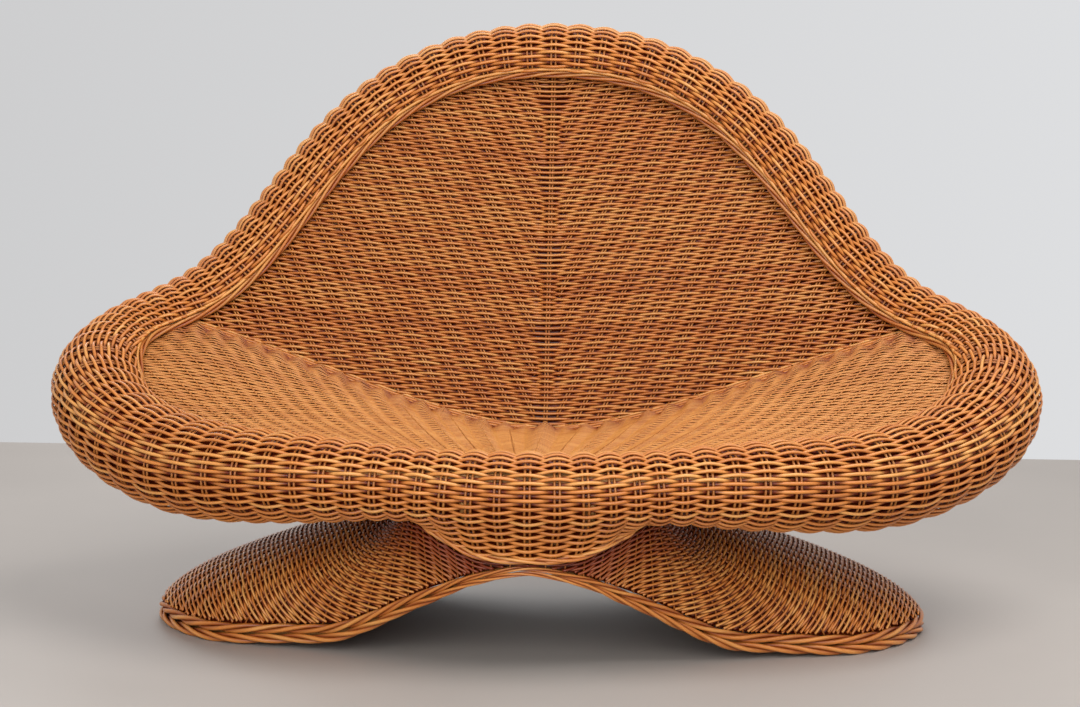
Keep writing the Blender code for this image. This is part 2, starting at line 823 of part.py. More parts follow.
def seat_post(name, foot, bottom, top, hoop):
    """A short post from the waist hoop to the seat, pinned to the hoop with a dowel."""
    up = (0, 0, 1)
    middle = (foot[0], foot[1], (bottom + top) / 2)
    post = rod(name + "_seat_post", middle, up, SEAT_POST, top - bottom, "rattan_pole")
    pin = (foot[0], foot[1], bottom)
    rod(name + "_post_dowel", pin, up, DOWEL, 2 * DOWEL_DEPTH, "dowel_wood")
    hole = rod(name + "_post_bore", pin, up, DOWEL + DOWEL_FIT, 2 * (DOWEL_DEPTH + DOWEL_FIT))
    bore(post, hole)
    bore(hoop, hole)


def crease_rail_point(share):
    """Centre of the rail that both panels end on."""
    seat, back, seat_up, back_up = crease_frame(share)
    middle = crease_point(share)
    away = unit(seat_up + back_up)
    reach = CREASE_RAIL + CLEARANCE
    depths = []
    for way, normal in ((seat, seat_up), (back, back_up)):
        corner = way * CREASE_SETBACK - normal * SKIN / 2
        lean = corner @ away
        depths.append(-lean + math.sqrt(lean**2 - corner @ corner + reach**2))
    return middle - away * max(depths)


def make_crease_rail():
    places = panel_places(False)
    pole("crease_rail", [crease_rail_point(p) for p in places], CREASE_RAIL, 8)


def make_panel_ribs():
    kinds = ((False, SEAT_RIB, "seat", SEAT_RIB_COLUMNS), (True, BACK_RIB, "back", BACK_RIB_COLUMNS))
    for back, radius, title, steps in kinds:
        places = panel_places(back)
        centre = len(places) // 2
        inset = SKIN / 2 + CLEARANCE + radius
        shares = panel_shares()[1:] if not back else panel_shares()
        pole(title + "_centre_rib", behind_panel(0, shares, back, inset), radius, 8)
        for number, step in enumerate(steps, 1):
            for side_name, side in SIDES.items():
                spot = side * abs(places[centre + step * PANEL_SPLIT])
                points = behind_panel(spot, shares, back, inset)
                pole(f"{side_name}_{title}_rib_{number}", points, radius, 8)


# Poles in the feet

def foot_hoop_point(u):
    inset = BORDER_THICKNESS / 2 + CLEARANCE + FOOT_HOOP
    return border_foot(u) - border_out(u) * inset + np.array([0, 0, FOOT_HOOP_LIFT + FOOT_HOOP])


def make_foot_frames():
    for side_name, side in SIDES.items():
        places = foot_columns(side)
        points = splice_ends(foot_hoop_point(0), side)
        points += [foot_hoop_point(u) for u in places[1:-1]]
        points += splice_ends(foot_hoop_point(0.5), side)[::-1]
        pole(side_name + "_foot_hoop", points, FOOT_HOOP, 6)
        for spot, station in (("front", "front_bend"), ("tip", "arm_tip"), ("rear", "shoulder_low")):
            u = places[np.argmin(abs(foot_columns(1) - u_of(station)))]
            pole(f"{side_name}_foot_{spot}_rib", foot_rib_points(u), FOOT_RIB)


def foot_rib_points(u):
    """Points under a foot's skin, from below the waist hoop to above the foot hoop."""
    inset = SKIN / 2 + EASE + FOOT_RIB
    floor = foot_hoop_point(u)[2] + FOOT_HOOP + CLEARANCE + FOOT_RIB
    points = [skirt_point(u, w) - skirt_normal(u, w) * inset for w in skirt_shares()[2:-1]]
    return [point for point in points if point[2] > floor]


def centre_on_origin():
    """Move the chair so that the middle of its depth lies over the origin."""
    depths = [
        vertex.co.y
        for name in ("front_roll_weave", "back_roll_weave")
        for vertex in bpy.data.objects[name].data.vertices
    ]
    ROOT.location.y = -(min(depths) + max(depths)) / 2


def main():
    make_rolls()
    make_shells()
    make_panel("seat_weave", False, "seat_weave")
    make_panel("back_weave", True, "woven_rattan")
    make_feet()
    make_borders()
    make_lip_braid()
    make_rim_poles()
    make_lip_hoops()
    make_shell_ribs()
    make_waist_and_posts()
    make_crease_rail()
    make_panel_ribs()
    make_foot_frames()
    centre_on_origin()


main()
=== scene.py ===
"""Woven rattan lounge armchair, with every strand, stake and rope of its weave modelled over the solids.

Metres, +Z up. The sitter faces -Y. Left and right are as seen from the front, so right is +X.
"""

import math

import bpy
import numpy as np
from mathutils import Matrix, Vector
from mathutils.bvhtree import BVHTree


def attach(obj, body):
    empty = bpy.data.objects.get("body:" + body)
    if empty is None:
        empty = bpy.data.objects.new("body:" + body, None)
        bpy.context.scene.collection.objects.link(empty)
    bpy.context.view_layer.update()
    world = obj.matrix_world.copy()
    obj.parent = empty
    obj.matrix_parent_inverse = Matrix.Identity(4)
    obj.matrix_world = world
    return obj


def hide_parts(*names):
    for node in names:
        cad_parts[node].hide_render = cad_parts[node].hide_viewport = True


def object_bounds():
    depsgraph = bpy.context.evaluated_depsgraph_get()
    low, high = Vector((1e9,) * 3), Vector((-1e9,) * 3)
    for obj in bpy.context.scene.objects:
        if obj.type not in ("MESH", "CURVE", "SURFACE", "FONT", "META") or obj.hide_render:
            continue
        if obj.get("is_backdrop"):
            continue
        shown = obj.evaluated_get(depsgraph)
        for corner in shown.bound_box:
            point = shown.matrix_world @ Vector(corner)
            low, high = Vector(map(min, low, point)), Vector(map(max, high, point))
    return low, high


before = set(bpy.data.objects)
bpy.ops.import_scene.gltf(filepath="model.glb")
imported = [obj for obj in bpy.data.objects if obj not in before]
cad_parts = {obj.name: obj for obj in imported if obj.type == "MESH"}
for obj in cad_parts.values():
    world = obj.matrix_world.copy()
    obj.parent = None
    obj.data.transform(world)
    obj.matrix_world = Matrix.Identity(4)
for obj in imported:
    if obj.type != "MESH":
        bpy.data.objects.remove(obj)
CAD_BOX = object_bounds()
RANDOM = np.random.default_rng(7)

# Strands of the weave, as half their width and half their thickness
REED = (0.0026, 0.0020)
BACK_REED = (0.0023, 0.0018)
SEAT_REED = (0.0019, 0.0012)
FOOT_REED = (0.0021, 0.0016)

# Sides of the tubes: strands of the rim, finer strands and stakes, and strands of ropes
STRAND_SIDES = 6
FINE_SIDES = 4
ROPE_SIDES = 8

# Rows: how far apart they lie, and how far the strands swing to either side of the stakes
ROLL_PITCH = 0.0054
BACK_PITCH = 0.0040
SEAT_PITCH = 0.0030
FOOT_PITCH = 0.0037
ROLL_SWING = 0.0050
BACK_SWING = 0.0040
SEAT_SWING = 0.0008
FOOT_SWING = 0.0028

# Waves of a strand beside its row: size, lengths, and the most that one starts ahead, in radians
WOBBLE = 0.0003
WOBBLE_LENGTHS = (0.19, 0.07)
WOBBLE_START = 7

# Painted shade: how much darker a strand is under a stake, and how far down its swing that starts and ends
ROLL_SHELTER = 0.85
BACK_SHELTER = 0.98
SEAT_SHELTER = 0.22
FOOT_SHELTER = 0.85
SHELTER_FROM = 0.2
SHELTER_FULL = 0.85

# Painted shade: how much darker the sides of a strand are than its crest
STRAND_SIDE_SHADE = 0.7
ROPE_SIDE_SHADE = 0.7

# How far the panels' strands lie in front of the middle of their solids
BACK_LIFT = 0.0020
SEAT_LIFT = 0.0024

# Dark sheet of painted shade in the hollow behind the weave: its depth, and the points of a grid to each of
# its faces
SHADE_SHEET_DEPTH = 0.0095
SHADE_SHEET_STEP = 4

# Stakes: radius, and as their look the darkest tone, the palest tone and how open to light they are
STAKE = 0.0020
STAKE_LOOK = (0.6, 0.9, 0.75)
VEIN_STAKE = 0.0017
SEAT_STAKE = 0.0014
PANEL_STAKE_LOOK = (0.5, 0.8, 0.8)
FOOT_STAKE = 0.0013
FOOT_STAKE_LOOK = (0.4, 0.7, 0.7)
STAKE_STEP = 0.008

# Rim and shell: pairs of stakes, spaced by the stations. Every other pair ends at THIN_OUT below the roll's
# outermost line, and the FULL_ROWS rows next below that line close up where the shell is short.
STEPS_PER_PAIR = 8
SPARSE_STEP = 4
PAIR_HALF_GAP = 0.0035
THIN_OUT = 0.20
FULL_ROWS = 16
LIP_MARGIN = 0.0015

# Back panel: a spine with veins that lean away from it, under rows that rise to either side
VEIN_LEAN = math.radians(28)
VEIN_GAP = 0.0288
VEIN_START = 0.26
VEIN_SLOPE = math.tan(VEIN_LEAN)
VEIN_STEP = VEIN_GAP / math.cos(VEIN_LEAN)
VEIN_HALF_GAP = 0.0022
SPINE_HALF = 0.006
SPINE_BLEND = 0.010
BACK_STEP = 0.0068
BACK_CLIMB = 0.061
BACK_CRIMP = 1.4
# BACK_SHADE: painted shade over the whole back panel
BACK_SHADE = 0.87

# Seat stakes, which fan out from a point in front of the chair, closer to each other at the sides
FAN_CENTRE = -0.50
FAN_FIRST = 0.10
FAN_GROWTH = 1.6
SEAT_STAKE_LIFT = 0.0010
SEAT_STEP = 0.008

# Relief of the seat: rows that swing deeper, flutes along the stakes, and a spine on the middle line
SEAT_DEEP_ROW = 4
SEAT_DEEPER = 2
SEAT_FLUTE = 0.0020
FLUTE_SPREAD = 0.45
SEAT_SPINE = 0.0060
SEAT_SPINE_TAPER = 2

# Gathers of the seat at the crease: ridges with painted shade in the folds between them and over the whole
# gather, which fade towards the front
GATHER_GAP = 4 * SEAT_STEP
GATHER_REACH = 0.035
GATHER_SWELL = 0.0100
GATHER_SHADE = 0.70
GATHER_DIM = 0.22

# Foot weave. FOOT_SHADOW: how open to light it is at the waist, and the run that adds 1 to this.
FOOT_STAKES = 40
FOOT_OVERLAP = 0.001
FOOT_STEPS = 240
FOOT_SHADOW = (0.25, 0.14)

# Ropes: strands in each, how open to light these are half-way round, and the length of one turn
ROPE_STRANDS = 3
ROPE_STEP = 0.004
ROPE_SHADE = 0.85
LIP_ROPE = 0.0058
LIP_ROPE_FRONT = 0.6
LIP_LAY = 0.160
LIP_EDGE = 0.0025
LIP_EDGE_LIFT = 0.0025
BORDER_LAY = 0.150
BORDER_FLATTEN = 1.25
BORDER_ROWS = 2
TONGUE_ROPE = 0.0052
TONGUE_LAY = 0.140

# Strands along the crease, from the first one's share of the way up the back
CREASE_STRANDS = 3
CREASE_FIRST = 0.25
CREASE_REED = (0.0024, 0.0018)
CREASE_REACH = 0.009
CREASE_LIFT = 0.0030
CREASE_STEP = 0.004
# CREASE_SHADE: painted shade on the strands in the crease
CREASE_SHADE = 0.9

# Samples: along lines, and over the body, the feet and the panels
LOOP_SAMPLES = 4001
TONGUE_SAMPLES = 320
GATHER_SAMPLES = 200
ROLL_STEPS = 56
SHELL_STEPS = 80
FOOT_ROWS = 64
FOOT_DENSE = 8
PANEL_COLUMNS = 240
PANEL_ROWS = 64
NUDGE = 1e-4

# Rays that find the seat from above and the back from the front
RAY_HEIGHT = 2.0
RAY_FRONT = -1.0
DOWN = (0, 0, -1)
REARWARD = (0, 1, 0)

# Sizes of the solids that the weave follows
SKIN = 0.010
LIP_TUCK = 0.008
LAP_GAP = 0.0022
CLEARANCE = 0.0004
LIP_EASE = 0.0015
LIP_HOOP = 0.006
LIP_BRAID = 0.006
CREASE_SETBACK = 0.007
DEPTH_SHIFT = 0.0263

# Crease between seat and back, from the centre to the right
CREASE_CENTRE = (0.0, 0.120, 0.265)
CREASE_INNER_HANDLE = (0.150, 0.120, 0.265)
CREASE_OUTER_HANDLE = (0.370, 0.150, 0.372)
BACK_RAKE = math.radians(18)
SEAT_RISE = math.radians(2.3)
CORNER_SHARE = 0.55
PANEL_END = 0.985

# Shares of the run from the waist to the floor that shape a foot's swell
FOOT_TOP_OUT = 0.08
FOOT_TOP_DOWN = 0.26
FOOT_END_OUT = 0.15
FOOT_END_DOWN = 0.46

# Colours from dark to pale, as red, green and blue of 0 to 255
BROWN = [(160, 88, 32), (205, 126, 53), (229, 176, 100)]
TAN = [(176, 102, 41), (204, 134, 63), (221, 157, 85)]
# Painted shade: colours multiplied into the reeds by each point's shade, from full shade to none
PAINTED_SHADE_COLOURS = [(80, 20, 0), (158, 98, 46), (213, 196, 178), (255, 255, 255)]
# Painted shade: colours of the dark sheet in the hollow behind the weave
SHADE_SHEET_COLOURS = [(70, 20, 4), (110, 38, 10)]
CANE = [(120, 76, 38), (176, 122, 66), (204, 152, 92)]
CANE_JOINT = [(120, 96, 74), (255, 255, 255)]
DOWEL = [(176, 134, 88), (214, 176, 128)]
GREY = [(158, 150, 143), (178, 170, 163)]
BACKDROP = [(205, 205, 206), (225, 226, 228)]

# Reed finishes: colours, range of roughness and weight of the coat
WOVEN_FINISH = dict(colours=BROWN, rough=(0.34, 0.56), coat=0.12)
SEAT_FINISH = dict(colours=TAN, rough=(0.42, 0.64), coat=0.06)
BRAID_FINISH = dict(colours=BROWN, rough=(0.32, 0.54), coat=0.14)
COAT_ROUGH = 0.35

# Reed pattern: fibres along a strand, patches over the chair, and the share of each in a strand's colour
FIBRE_STRETCH = (28, 5, 1)
FIBRE_SHIFT = 40
FIBRE_SIZE = 1.6
FIBRE_DETAIL = 4.0
PATCH_PATTERN = (11.0, 2.0)
TONE_SHARE = 0.35
FIBRE_SHARE = 0.45
PATCH_SHARE = 0.35
SHARE_RANGE = (0.15, 0.95)
REED_BUMP = (0.35, 0.0006)

# Other finishes: scale and detail of the pattern, range of roughness, strength and depth of the bump
# Painted shade: finish of the dark sheet in the hollow behind the weave
SHADE_SHEET_FINISH = dict(colours=SHADE_SHEET_COLOURS, pattern=(60.0, 3.0), rough=(0.9, 1.0), gloss=0.0)
FLOOR_FINISH = dict(colours=GREY, pattern=(1.6, 6.0), rough=(0.47, 0.63), gloss=0.5)
CANE_PATTERN = (90.0, 5.0)
CANE_ROUGH = (0.42, 0.62)
CANE_BUMP = (0.3, 0.001)
CANE_JOINT_SCALE = 6.0
CANE_JOINT_REACH = 0.04
DOWEL_GRAIN = {"Scale": 120.0, "Distortion": 3.0, "Detail": 3.0}
DOWEL_ROUGH = (0.5, 0.7)

# Camera
CAMERA_DISTANCE = 3.4
CAMERA_HEIGHT = 0.72
CAMERA_TURN = math.radians(2.5)
CAMERA_TILT = math.radians(0.6)
CAMERA_AIM = (-0.004, 0.0, 0.40)
LENS = 76.8

# Floor and light, with the power of the lights in watts
FLOOR_REAR = 1.88
FLOOR_FRONT = -9.0
FLOOR_HALF_WIDTH = 9.0
LIGHT_SIZE = 2.6
LIGHTS = {
    "top_light": dict(spot=(1.3, -1.2, 3.1), aim=(0, 0, 0.4), power=80),
    "front_light": dict(spot=(-0.5, -3.9, 1.5), aim=(0, 0, 0.3), power=96),
    "rear_light": dict(spot=(-0.8, 3.4, 2.6), aim=(0, 0, 0.4), power=40),
}
WORLD_COLOUR = (0.97, 0.98, 1.0, 1)
WORLD_STRENGTH = 0.60
BACKDROP_REACH = 0.3

# Stations round the right half of the rim, from the front centre to the top of the back.
# rim: centre of the roll. radius: of the roll. lip, tail: where the roll's weave starts and ends, in
# degrees from straight out towards the sitter. face: lean of the sitter's side from upright, in degrees.
# gap: from one pair of stakes to the next. waist: lower edge of the body, and the way it runs there.
# border: foot of the skirt, and its height.
STATIONS = {
    "front_centre": dict(
        rim=(0.000, -0.375, 0.247), radius=0.052, lip=125, tail=-30, face=0, gap=0.040,
        waist=(0.000, -0.395, 0.158), run=(0.00, 0.25, -0.97), border=(0.000, -0.385, 0.139), height=0.014,
    ),
    "tongue_side": dict(
        rim=(0.085, -0.371, 0.249), radius=0.050, lip=125, tail=-32, face=0, gap=0.036,
        waist=(0.078, -0.385, 0.166), run=(0.00, 0.22, -0.97), border=(0.072, -0.368, 0.122), height=0.016,
    ),
    "front_side": dict(
        rim=(0.165, -0.361, 0.255), radius=0.046, lip=125, tail=-52, face=0, gap=0.031,
        waist=(0.152, -0.350, 0.205), run=(0.00, 0.20, -0.97), border=(0.138, -0.322, 0.086), height=0.022,
    ),
    "front_bend": dict(
        rim=(0.312, -0.322, 0.256), radius=0.055, lip=128, tail=-80, face=0, gap=0.044,
        waist=(0.195, -0.235, 0.205), run=(0.08, -0.08, -0.99), border=(0.300, -0.240, 0.010), height=0.028,
    ),
    "arm_front": dict(
        rim=(0.520, -0.190, 0.260), radius=0.065, lip=142, tail=-95, face=0, gap=0.058,
        waist=(0.200, -0.125, 0.208), run=(0.12, -0.05, -0.99), border=(0.470, -0.182, 0.000), height=0.029,
    ),
    "arm_tip": dict(
        rim=(0.662, -0.005, 0.333), radius=0.066, lip=150, tail=-86, face=5, gap=0.054,
        waist=(0.195, -0.020, 0.208), run=(0.12, 0.00, -0.99), border=(0.562, 0.000, 0.000), height=0.029,
    ),
    "arm_rear": dict(
        rim=(0.645, 0.125, 0.392), radius=0.058, lip=142, tail=-54, face=25, gap=0.038,
        waist=(0.185, 0.070, 0.205), run=(0.12, 0.05, -0.99), border=(0.510, 0.110, 0.000), height=0.029,
    ),
    "shoulder_low": dict(
        rim=(0.541, 0.205, 0.456), radius=0.051, lip=134, tail=-62, face=52, gap=0.030,
        waist=(0.165, 0.145, 0.195), run=(0.08, 0.08, -0.99), border=(0.400, 0.185, 0.000), height=0.029,
    ),
    "shoulder": dict(
        rim=(0.404, 0.265, 0.611), radius=0.050, lip=130, tail=-72, face=68, gap=0.031,
        waist=(0.130, 0.200, 0.175), run=(0.04, 0.00, -1.00), border=(0.290, 0.215, 0.014), height=0.028,
    ),
    "back_side": dict(
        rim=(0.282, 0.300, 0.750), radius=0.050, lip=130, tail=-90, face=72, gap=0.037,
        waist=(0.090, 0.230, 0.160), run=(0.00, 0.00, -1.00), border=(0.190, 0.235, 0.050), height=0.022,
    ),
    "crown_side": dict(
        rim=(0.145, 0.320, 0.824), radius=0.050, lip=131, tail=-90, face=72, gap=0.041,
        waist=(0.045, 0.245, 0.147), run=(0.00, 0.00, -1.00), border=(0.095, 0.246, 0.085), height=0.018,
    ),
    "back_top": dict(
        rim=(0.000, 0.325, 0.845), radius=0.050, lip=132, tail=-90, face=72, gap=0.042,
        waist=(0.000, 0.250, 0.143), run=(0.00, 0.00, -1.00), border=(0.000, 0.248, 0.105), height=0.016,
    ),
}
MIRROR = np.array([-1.0, 1.0, 1.0])
UP = np.array([0.0, 0.0, 1.0])


# Curves round the chair

def length_of(vectors):
    return np.linalg.norm(vectors, axis=-1, keepdims=True)


def unit(vectors):
    return vectors / length_of(vectors)


def steps_along(points, closed):
    """Steps from the point before to the one after, along the first axis."""
    if closed:
        return np.roll(points, -1, axis=0) - np.roll(points, 1, axis=0)
    return np.gradient(points, axis=0)


def run_along(points, axis=0):
    """Distances along an axis of points from the first of them."""
    steps = np.linalg.norm(np.diff(points, axis=axis), axis=-1)
    return np.insert(np.cumsum(steps, axis=axis), 0, 0, axis=axis)


def closed_rows(key):
    """One station value all the way round, with the left half mirrored from the right."""
    right = [np.atleast_1d(np.array(values[key], float)) for values in STATIONS.values()]
    turned = MIRROR if len(right[0]) == len(MIRROR) else 1.0
    left = [values * turned for values in right[-2:0:-1]]
    return np.array(right + left)


RIM_ROWS = closed_rows("rim")
RIM_STEPS = np.linalg.norm(np.roll(RIM_ROWS, -1, axis=0) - RIM_ROWS, axis=1)
KNOTS = np.concatenate([[0.0], np.cumsum(RIM_STEPS)[:-1]]) / RIM_STEPS.sum()
SPANS = np.append(np.diff(KNOTS), 1.0 - KNOTS[-1])


def spline_slopes(rows):
    """Slopes at the stations of the smoothest closed curve through rows."""
    count = len(rows)
    system = np.zeros((count, count))
    right_side = np.zeros_like(rows)
    for i in range(count):
        before, after, ahead = SPANS[i - 1], SPANS[i], (i + 1) % count
        system[i, i - 1] = 1 / before
        system[i, i] = 2 / before + 2 / after
        system[i, ahead] = 1 / after
        right_side[i] = 3 * ((rows[i] - rows[i - 1]) / before**2 + (rows[ahead] - rows[i]) / after**2)
    return np.linalg.solve(system, right_side)


def steady_slopes(rows):
    """Slopes that keep a curve between its stations, and flat between two that are equal."""
    slopes = np.zeros_like(rows)
    after = (np.roll(rows, -1, axis=0) - rows) / SPANS[:, None]
    before = np.roll(after, 1, axis=0)
    same = before * after > 0
    slopes[same] = 2 * before[same] * after[same] / (before[same] + after[same])
    return slopes


def hermite(start, start_pull, end, end_pull, t):
    return (
        (1 + 2 * t) * (1 - t) ** 2 * start + t * (1 - t) ** 2 * start_pull
        + t**2 * (3 - 2 * t) * end + t**2 * (t - 1) * end_pull
    )


def bezier(points, t):
    a, b, c, d = (np.asarray(point, float) for point in points)
    return (1 - t) ** 3 * a + 3 * t * (1 - t) ** 2 * b + 3 * t**2 * (1 - t) * c + t**3 * d


def closed_curve(key, slopes_of):
    """A function of u, from 0 at the front centre by the right arm round to 1."""
    rows = closed_rows(key)
    slopes = slopes_of(rows)

    def at(u):
        u = np.mod(u, 1.0)
        i = np.searchsorted(KNOTS, u, side="right") - 1
        j = (i + 1) % len(rows)
        span = SPANS[i][..., None]
        t = (u - KNOTS[i])[..., None] / span
        return hermite(rows[i], slopes[i] * span, rows[j], slopes[j] * span, t)

    return at


rim_at = closed_curve("rim", spline_slopes)
waist_at = closed_curve("waist", spline_slopes)
run_at = closed_curve("run", spline_slopes)
border_plan_at = closed_curve("border", spline_slopes)
border_rise_at = closed_curve("border", steady_slopes)
height_at = closed_curve("height", steady_slopes)
pair_gap_at = closed_curve("gap", steady_slopes)
radius_at = closed_curve("radius", steady_slopes)
lip_at = closed_curve("lip", steady_slopes)
tail_at = closed_curve("tail", steady_slopes)
face_at = closed_curve("face", steady_slopes)


def u_of(name):
    """Place of a station on the right half of the rim."""
    return KNOTS[list(STATIONS).index(name)]


def rim_frame(u):
    """Centres of the roll, with the ways out and the ways towards the sitter."""
    along = unit(rim_at(u + NUDGE) - rim_at(u - NUDGE))
    lean = np.radians(face_at(u)[..., 0])
    face = np.stack([np.zeros_like(lean), -np.sin(lean), np.cos(lean)], axis=-1)
    face = unit(face - along * np.sum(face * along, axis=-1, keepdims=True))
    return rim_at(u), np.cross(along, face), face


def in_roll(u, reach, angle):
    """Points in the roll's cross-section, at a reach from its centre and an angle in radians."""
    centre, out, face = rim_frame(u)
    return centre + reach * (np.cos(angle) * out + np.sin(angle) * face)


def even_loop(point_at, step):
    """Places round the chair at equal steps along a closed line."""
    dense = np.linspace(0, 1, LOOP_SAMPLES)
    run = run_along(point_at(dense))
    count = int(run[-1] / step)
    return np.interp(run[-1] * np.arange(count) / count, run, dense)


# The body: the roll, and the shell that hangs from it

def body_grid(u):
    """Points of the body at each u, from the lip over the roll and down the shell to the waist."""
    centre, out, face = (part[:, None] for part in rim_frame(u))
    radius, lip, tail = radius_at(u), np.radians(lip_at(u)), np.radians(tail_at(u))
    angles = (lip + (tail - lip) * np.linspace(0, 1, ROLL_STEPS + 1))[..., None]
    roll = centre + radius[:, None] * (np.cos(angles) * out + np.sin(angles) * face)
    start, end = roll[:, -1:], waist_at(u)[:, None]
    length = length_of(end - start)
    leave = np.sin(tail)[:, None] * out - np.cos(tail)[:, None] * face
    shares = np.linspace(0, 1, SHELL_STEPS + 1)[1:, None]
    shell = hermite(start, leave * length, end, unit(run_at(u))[:, None] * length, shares)
    return np.concatenate([roll, shell], axis=1)


def outward(points, closed):
    """Unit normals of a grid whose first axis runs round the chair and second axis runs down."""
    return unit(np.cross(np.gradient(points, axis=1), steps_along(points, closed)))


def pick(grid, distances, wanted):
    """Values of a grid at the wanted distances down each of its columns."""
    picked = np.empty((*wanted.shape, grid.shape[-1]))
    for column in range(len(grid)):
        for axis in range(grid.shape[-1]):
            picked[column, :, axis] = np.interp(wanted[column], distances[column], grid[column, :, axis])
    return picked


# Tubes

class Strands:
    """Tubes gathered for one mesh, with how pale each of their points is and how much painted shade it takes.
    """

    def __init__(self):
        self.points, self.tone, self.shade = [], [], []
        self.corners, self.starts, self.places, self.finishes = [], [], [], []
        self.count = 0
        self.loops = 0

    def add_points(self, points, tone, shade):
        self.points.append(points)
        self.tone.append(np.full(len(points), tone))
        self.shade.append(np.broadcast_to(shade, len(points)))
        self.count += len(points)

    def add_faces(self, faces, places, finish=0):
        """Faces of equal size, with a place on the material for each of their corners."""
        count, corners = faces.shape
        self.finishes.append(np.full(count, finish))
        self.corners.append(faces.ravel())
        self.starts.append(self.loops + corners * np.arange(count))
        self.places.append(places)
        self.loops += count * corners

    def add_rings(self, rings, tone, shade, cap_start=True, cap_end=True, edge=STRAND_SIDE_SHADE):
        """A tube through rings of points, an array of rings by sides by 3."""
        number, sides = rings.shape[:2]
        ids = self.count + np.arange(number * sides).reshape(number, sides)
        ahead = np.roll(ids, -1, axis=1)
        quads = np.stack([ids[:-1], ids[1:], ahead[1:], ahead[:-1]], axis=-1).reshape(-1, 4)
        run = run_along(rings.mean(axis=1))[:, None]
        near, far, low = run[:-1], run[1:], np.arange(sides) / sides
        high = low + 1 / sides
        places = np.stack(np.broadcast_arrays(near, low, far, low, far, high, near, high), axis=-1)
        self.add_faces(quads, places.reshape(-1, 2))
        if cap_start:
            self.add_faces(ids[:1], np.zeros((sides, 2)))
        if cap_end:
            self.add_faces(ids[-1:, ::-1], np.zeros((sides, 2)))
        # Painted shade: the sides and underside of each tube darker than its crest
        side_shade = 1 - edge * (1 - np.sin(2 * math.pi * np.arange(sides) / sides)) / 2
        shades = np.broadcast_to(shade, number)[:, None] * side_shade
        self.add_points(rings.reshape(-1, 3), tone, shades.ravel())

    def add_rod(self, path, up, radius, darkest, palest, shade):
        """A round rod along a path."""
        tone = darkest + (palest - darkest) * RANDOM.random()
        self.add_rings(tube_rings(path, up, radius, radius, FINE_SIDES), tone, shade)

    def add_shade_sheet(self, grid):
        """A thin dark sheet of painted shade through a grid of points."""
        columns, rows = grid.shape[:2]
        ids = self.count + np.arange(columns * rows).reshape(columns, rows)
        quads = np.stack([ids[:-1, :-1], ids[:-1, 1:], ids[1:, 1:], ids[1:, :-1]], axis=-1).reshape(-1, 4)
        self.add_faces(quads, np.zeros((quads.size, 2)), finish=1)
        self.add_points(grid.reshape(-1, 3), 0.0, 0.0)

    def build(self, name, *materials):
        """The mesh object of all tubes and sheets of painted shade."""
        mesh = bpy.data.meshes.new(name)
        mesh.vertices.add(self.count)
        mesh.vertices.foreach_set("co", (np.concatenate(self.points) + (0, DEPTH_SHIFT, 0)).ravel())
        corners, starts = np.concatenate(self.corners), np.concatenate(self.starts)
        mesh.loops.add(len(corners))
        mesh.loops.foreach_set("vertex_index", corners)
        mesh.polygons.add(len(starts))
        mesh.polygons.foreach_set("loop_start", starts)
        mesh.polygons.foreach_set("material_index", np.concatenate(self.finishes))
        mesh.update(calc_edges=True)
        mesh.uv_layers.new(name="strand").data.foreach_set("uv", np.concatenate(self.places).ravel())
        for label, values in (("tone", self.tone), ("shade", self.shade)):
            mesh.attributes.new(label, "FLOAT", "POINT").data.foreach_set("value", np.concatenate(values))
        mesh.shade_smooth()
        for material in materials:
            mesh.materials.append(material)
        return add_object(name, mesh)


def add_object(name, data):
    obj = bpy.data.objects.new(name, data)
    bpy.context.scene.collection.objects.link(obj)
    return obj


def tube_rings(path, up, half_width, half_depth, sides, closed=False):
    """Rings round a path, flattened along up. The widths are single numbers or one per point."""
    along = unit(steps_along(path, closed))
    side = unit(np.cross(along, up))
    rise = np.cross(side, along)
    half_width = np.broadcast_to(half_width, len(path))[:, None, None]
    half_depth = np.broadcast_to(half_depth, len(path))[:, None, None]
    turns = 2 * math.pi * np.arange(sides)[:, None] / sides
    across = half_width * np.cos(turns) * side[:, None]
    return path[:, None] + across + half_depth * np.sin(turns) * rise[:, None]


def stretches(kept, group):
    """Runs of neighbouring faces of one strand that are kept and lie in one group."""
    start = 0
    while start < len(kept):
        end = start
        while end + 1 < len(kept) and kept[end + 1] == kept[start] and group[end + 1] == group[start]:
            end += 1
        if kept[start]:
            yield start, end
        start = end + 1


def weave_rows(
    points, normals, heights, shade, reed, kept, group, pieces, closed=False, sparse=(), sides=STRAND_SIDES,
):
    """Strands along the first axis of a grid, one for each of its second axis, shared out to pieces.

    The sparse rows go through fewer points, with fewer sides.
    """
    for row in range(points.shape[1]):
        if not kept[:, row].any():
            continue
        tone = RANDOM.random()
        path = points[:, row] + normals[:, row] * heights[:, row, None]
        path += wobble(path, normals[:, row], kept[:, row])
        few = row in sparse
        order = np.arange(0, len(path), SPARSE_STEP if few else 1)
        rings = tube_rings(path, normals[:, row], *reed, FINE_SIDES if few else sides, closed)
        if closed:
            order = np.append(order, 0)
        faces = kept[order[:-1], row] & kept[order[1:], row]
        for start, end in stretches(faces, group[order[:-1], row]):
            chosen = order[start:end + 2]
            before = faces[start - 1] if start or closed else False
            after = faces[(end + 1) % len(faces)] if end + 1 < len(faces) or closed else False
            pieces[group[chosen[0], row]].add_rings(
                rings[chosen], tone, shade[chosen, row], not before, not after
            )


def weave_piece(points, normals, heights, shade, reed, kept):
    """A piece of its own, of finer strands."""
    piece = Strands()
    group = np.zeros(kept.shape, int)
    weave_rows(points, normals, heights, shade, reed, kept, group, [piece], sides=FINE_SIDES)
    return piece


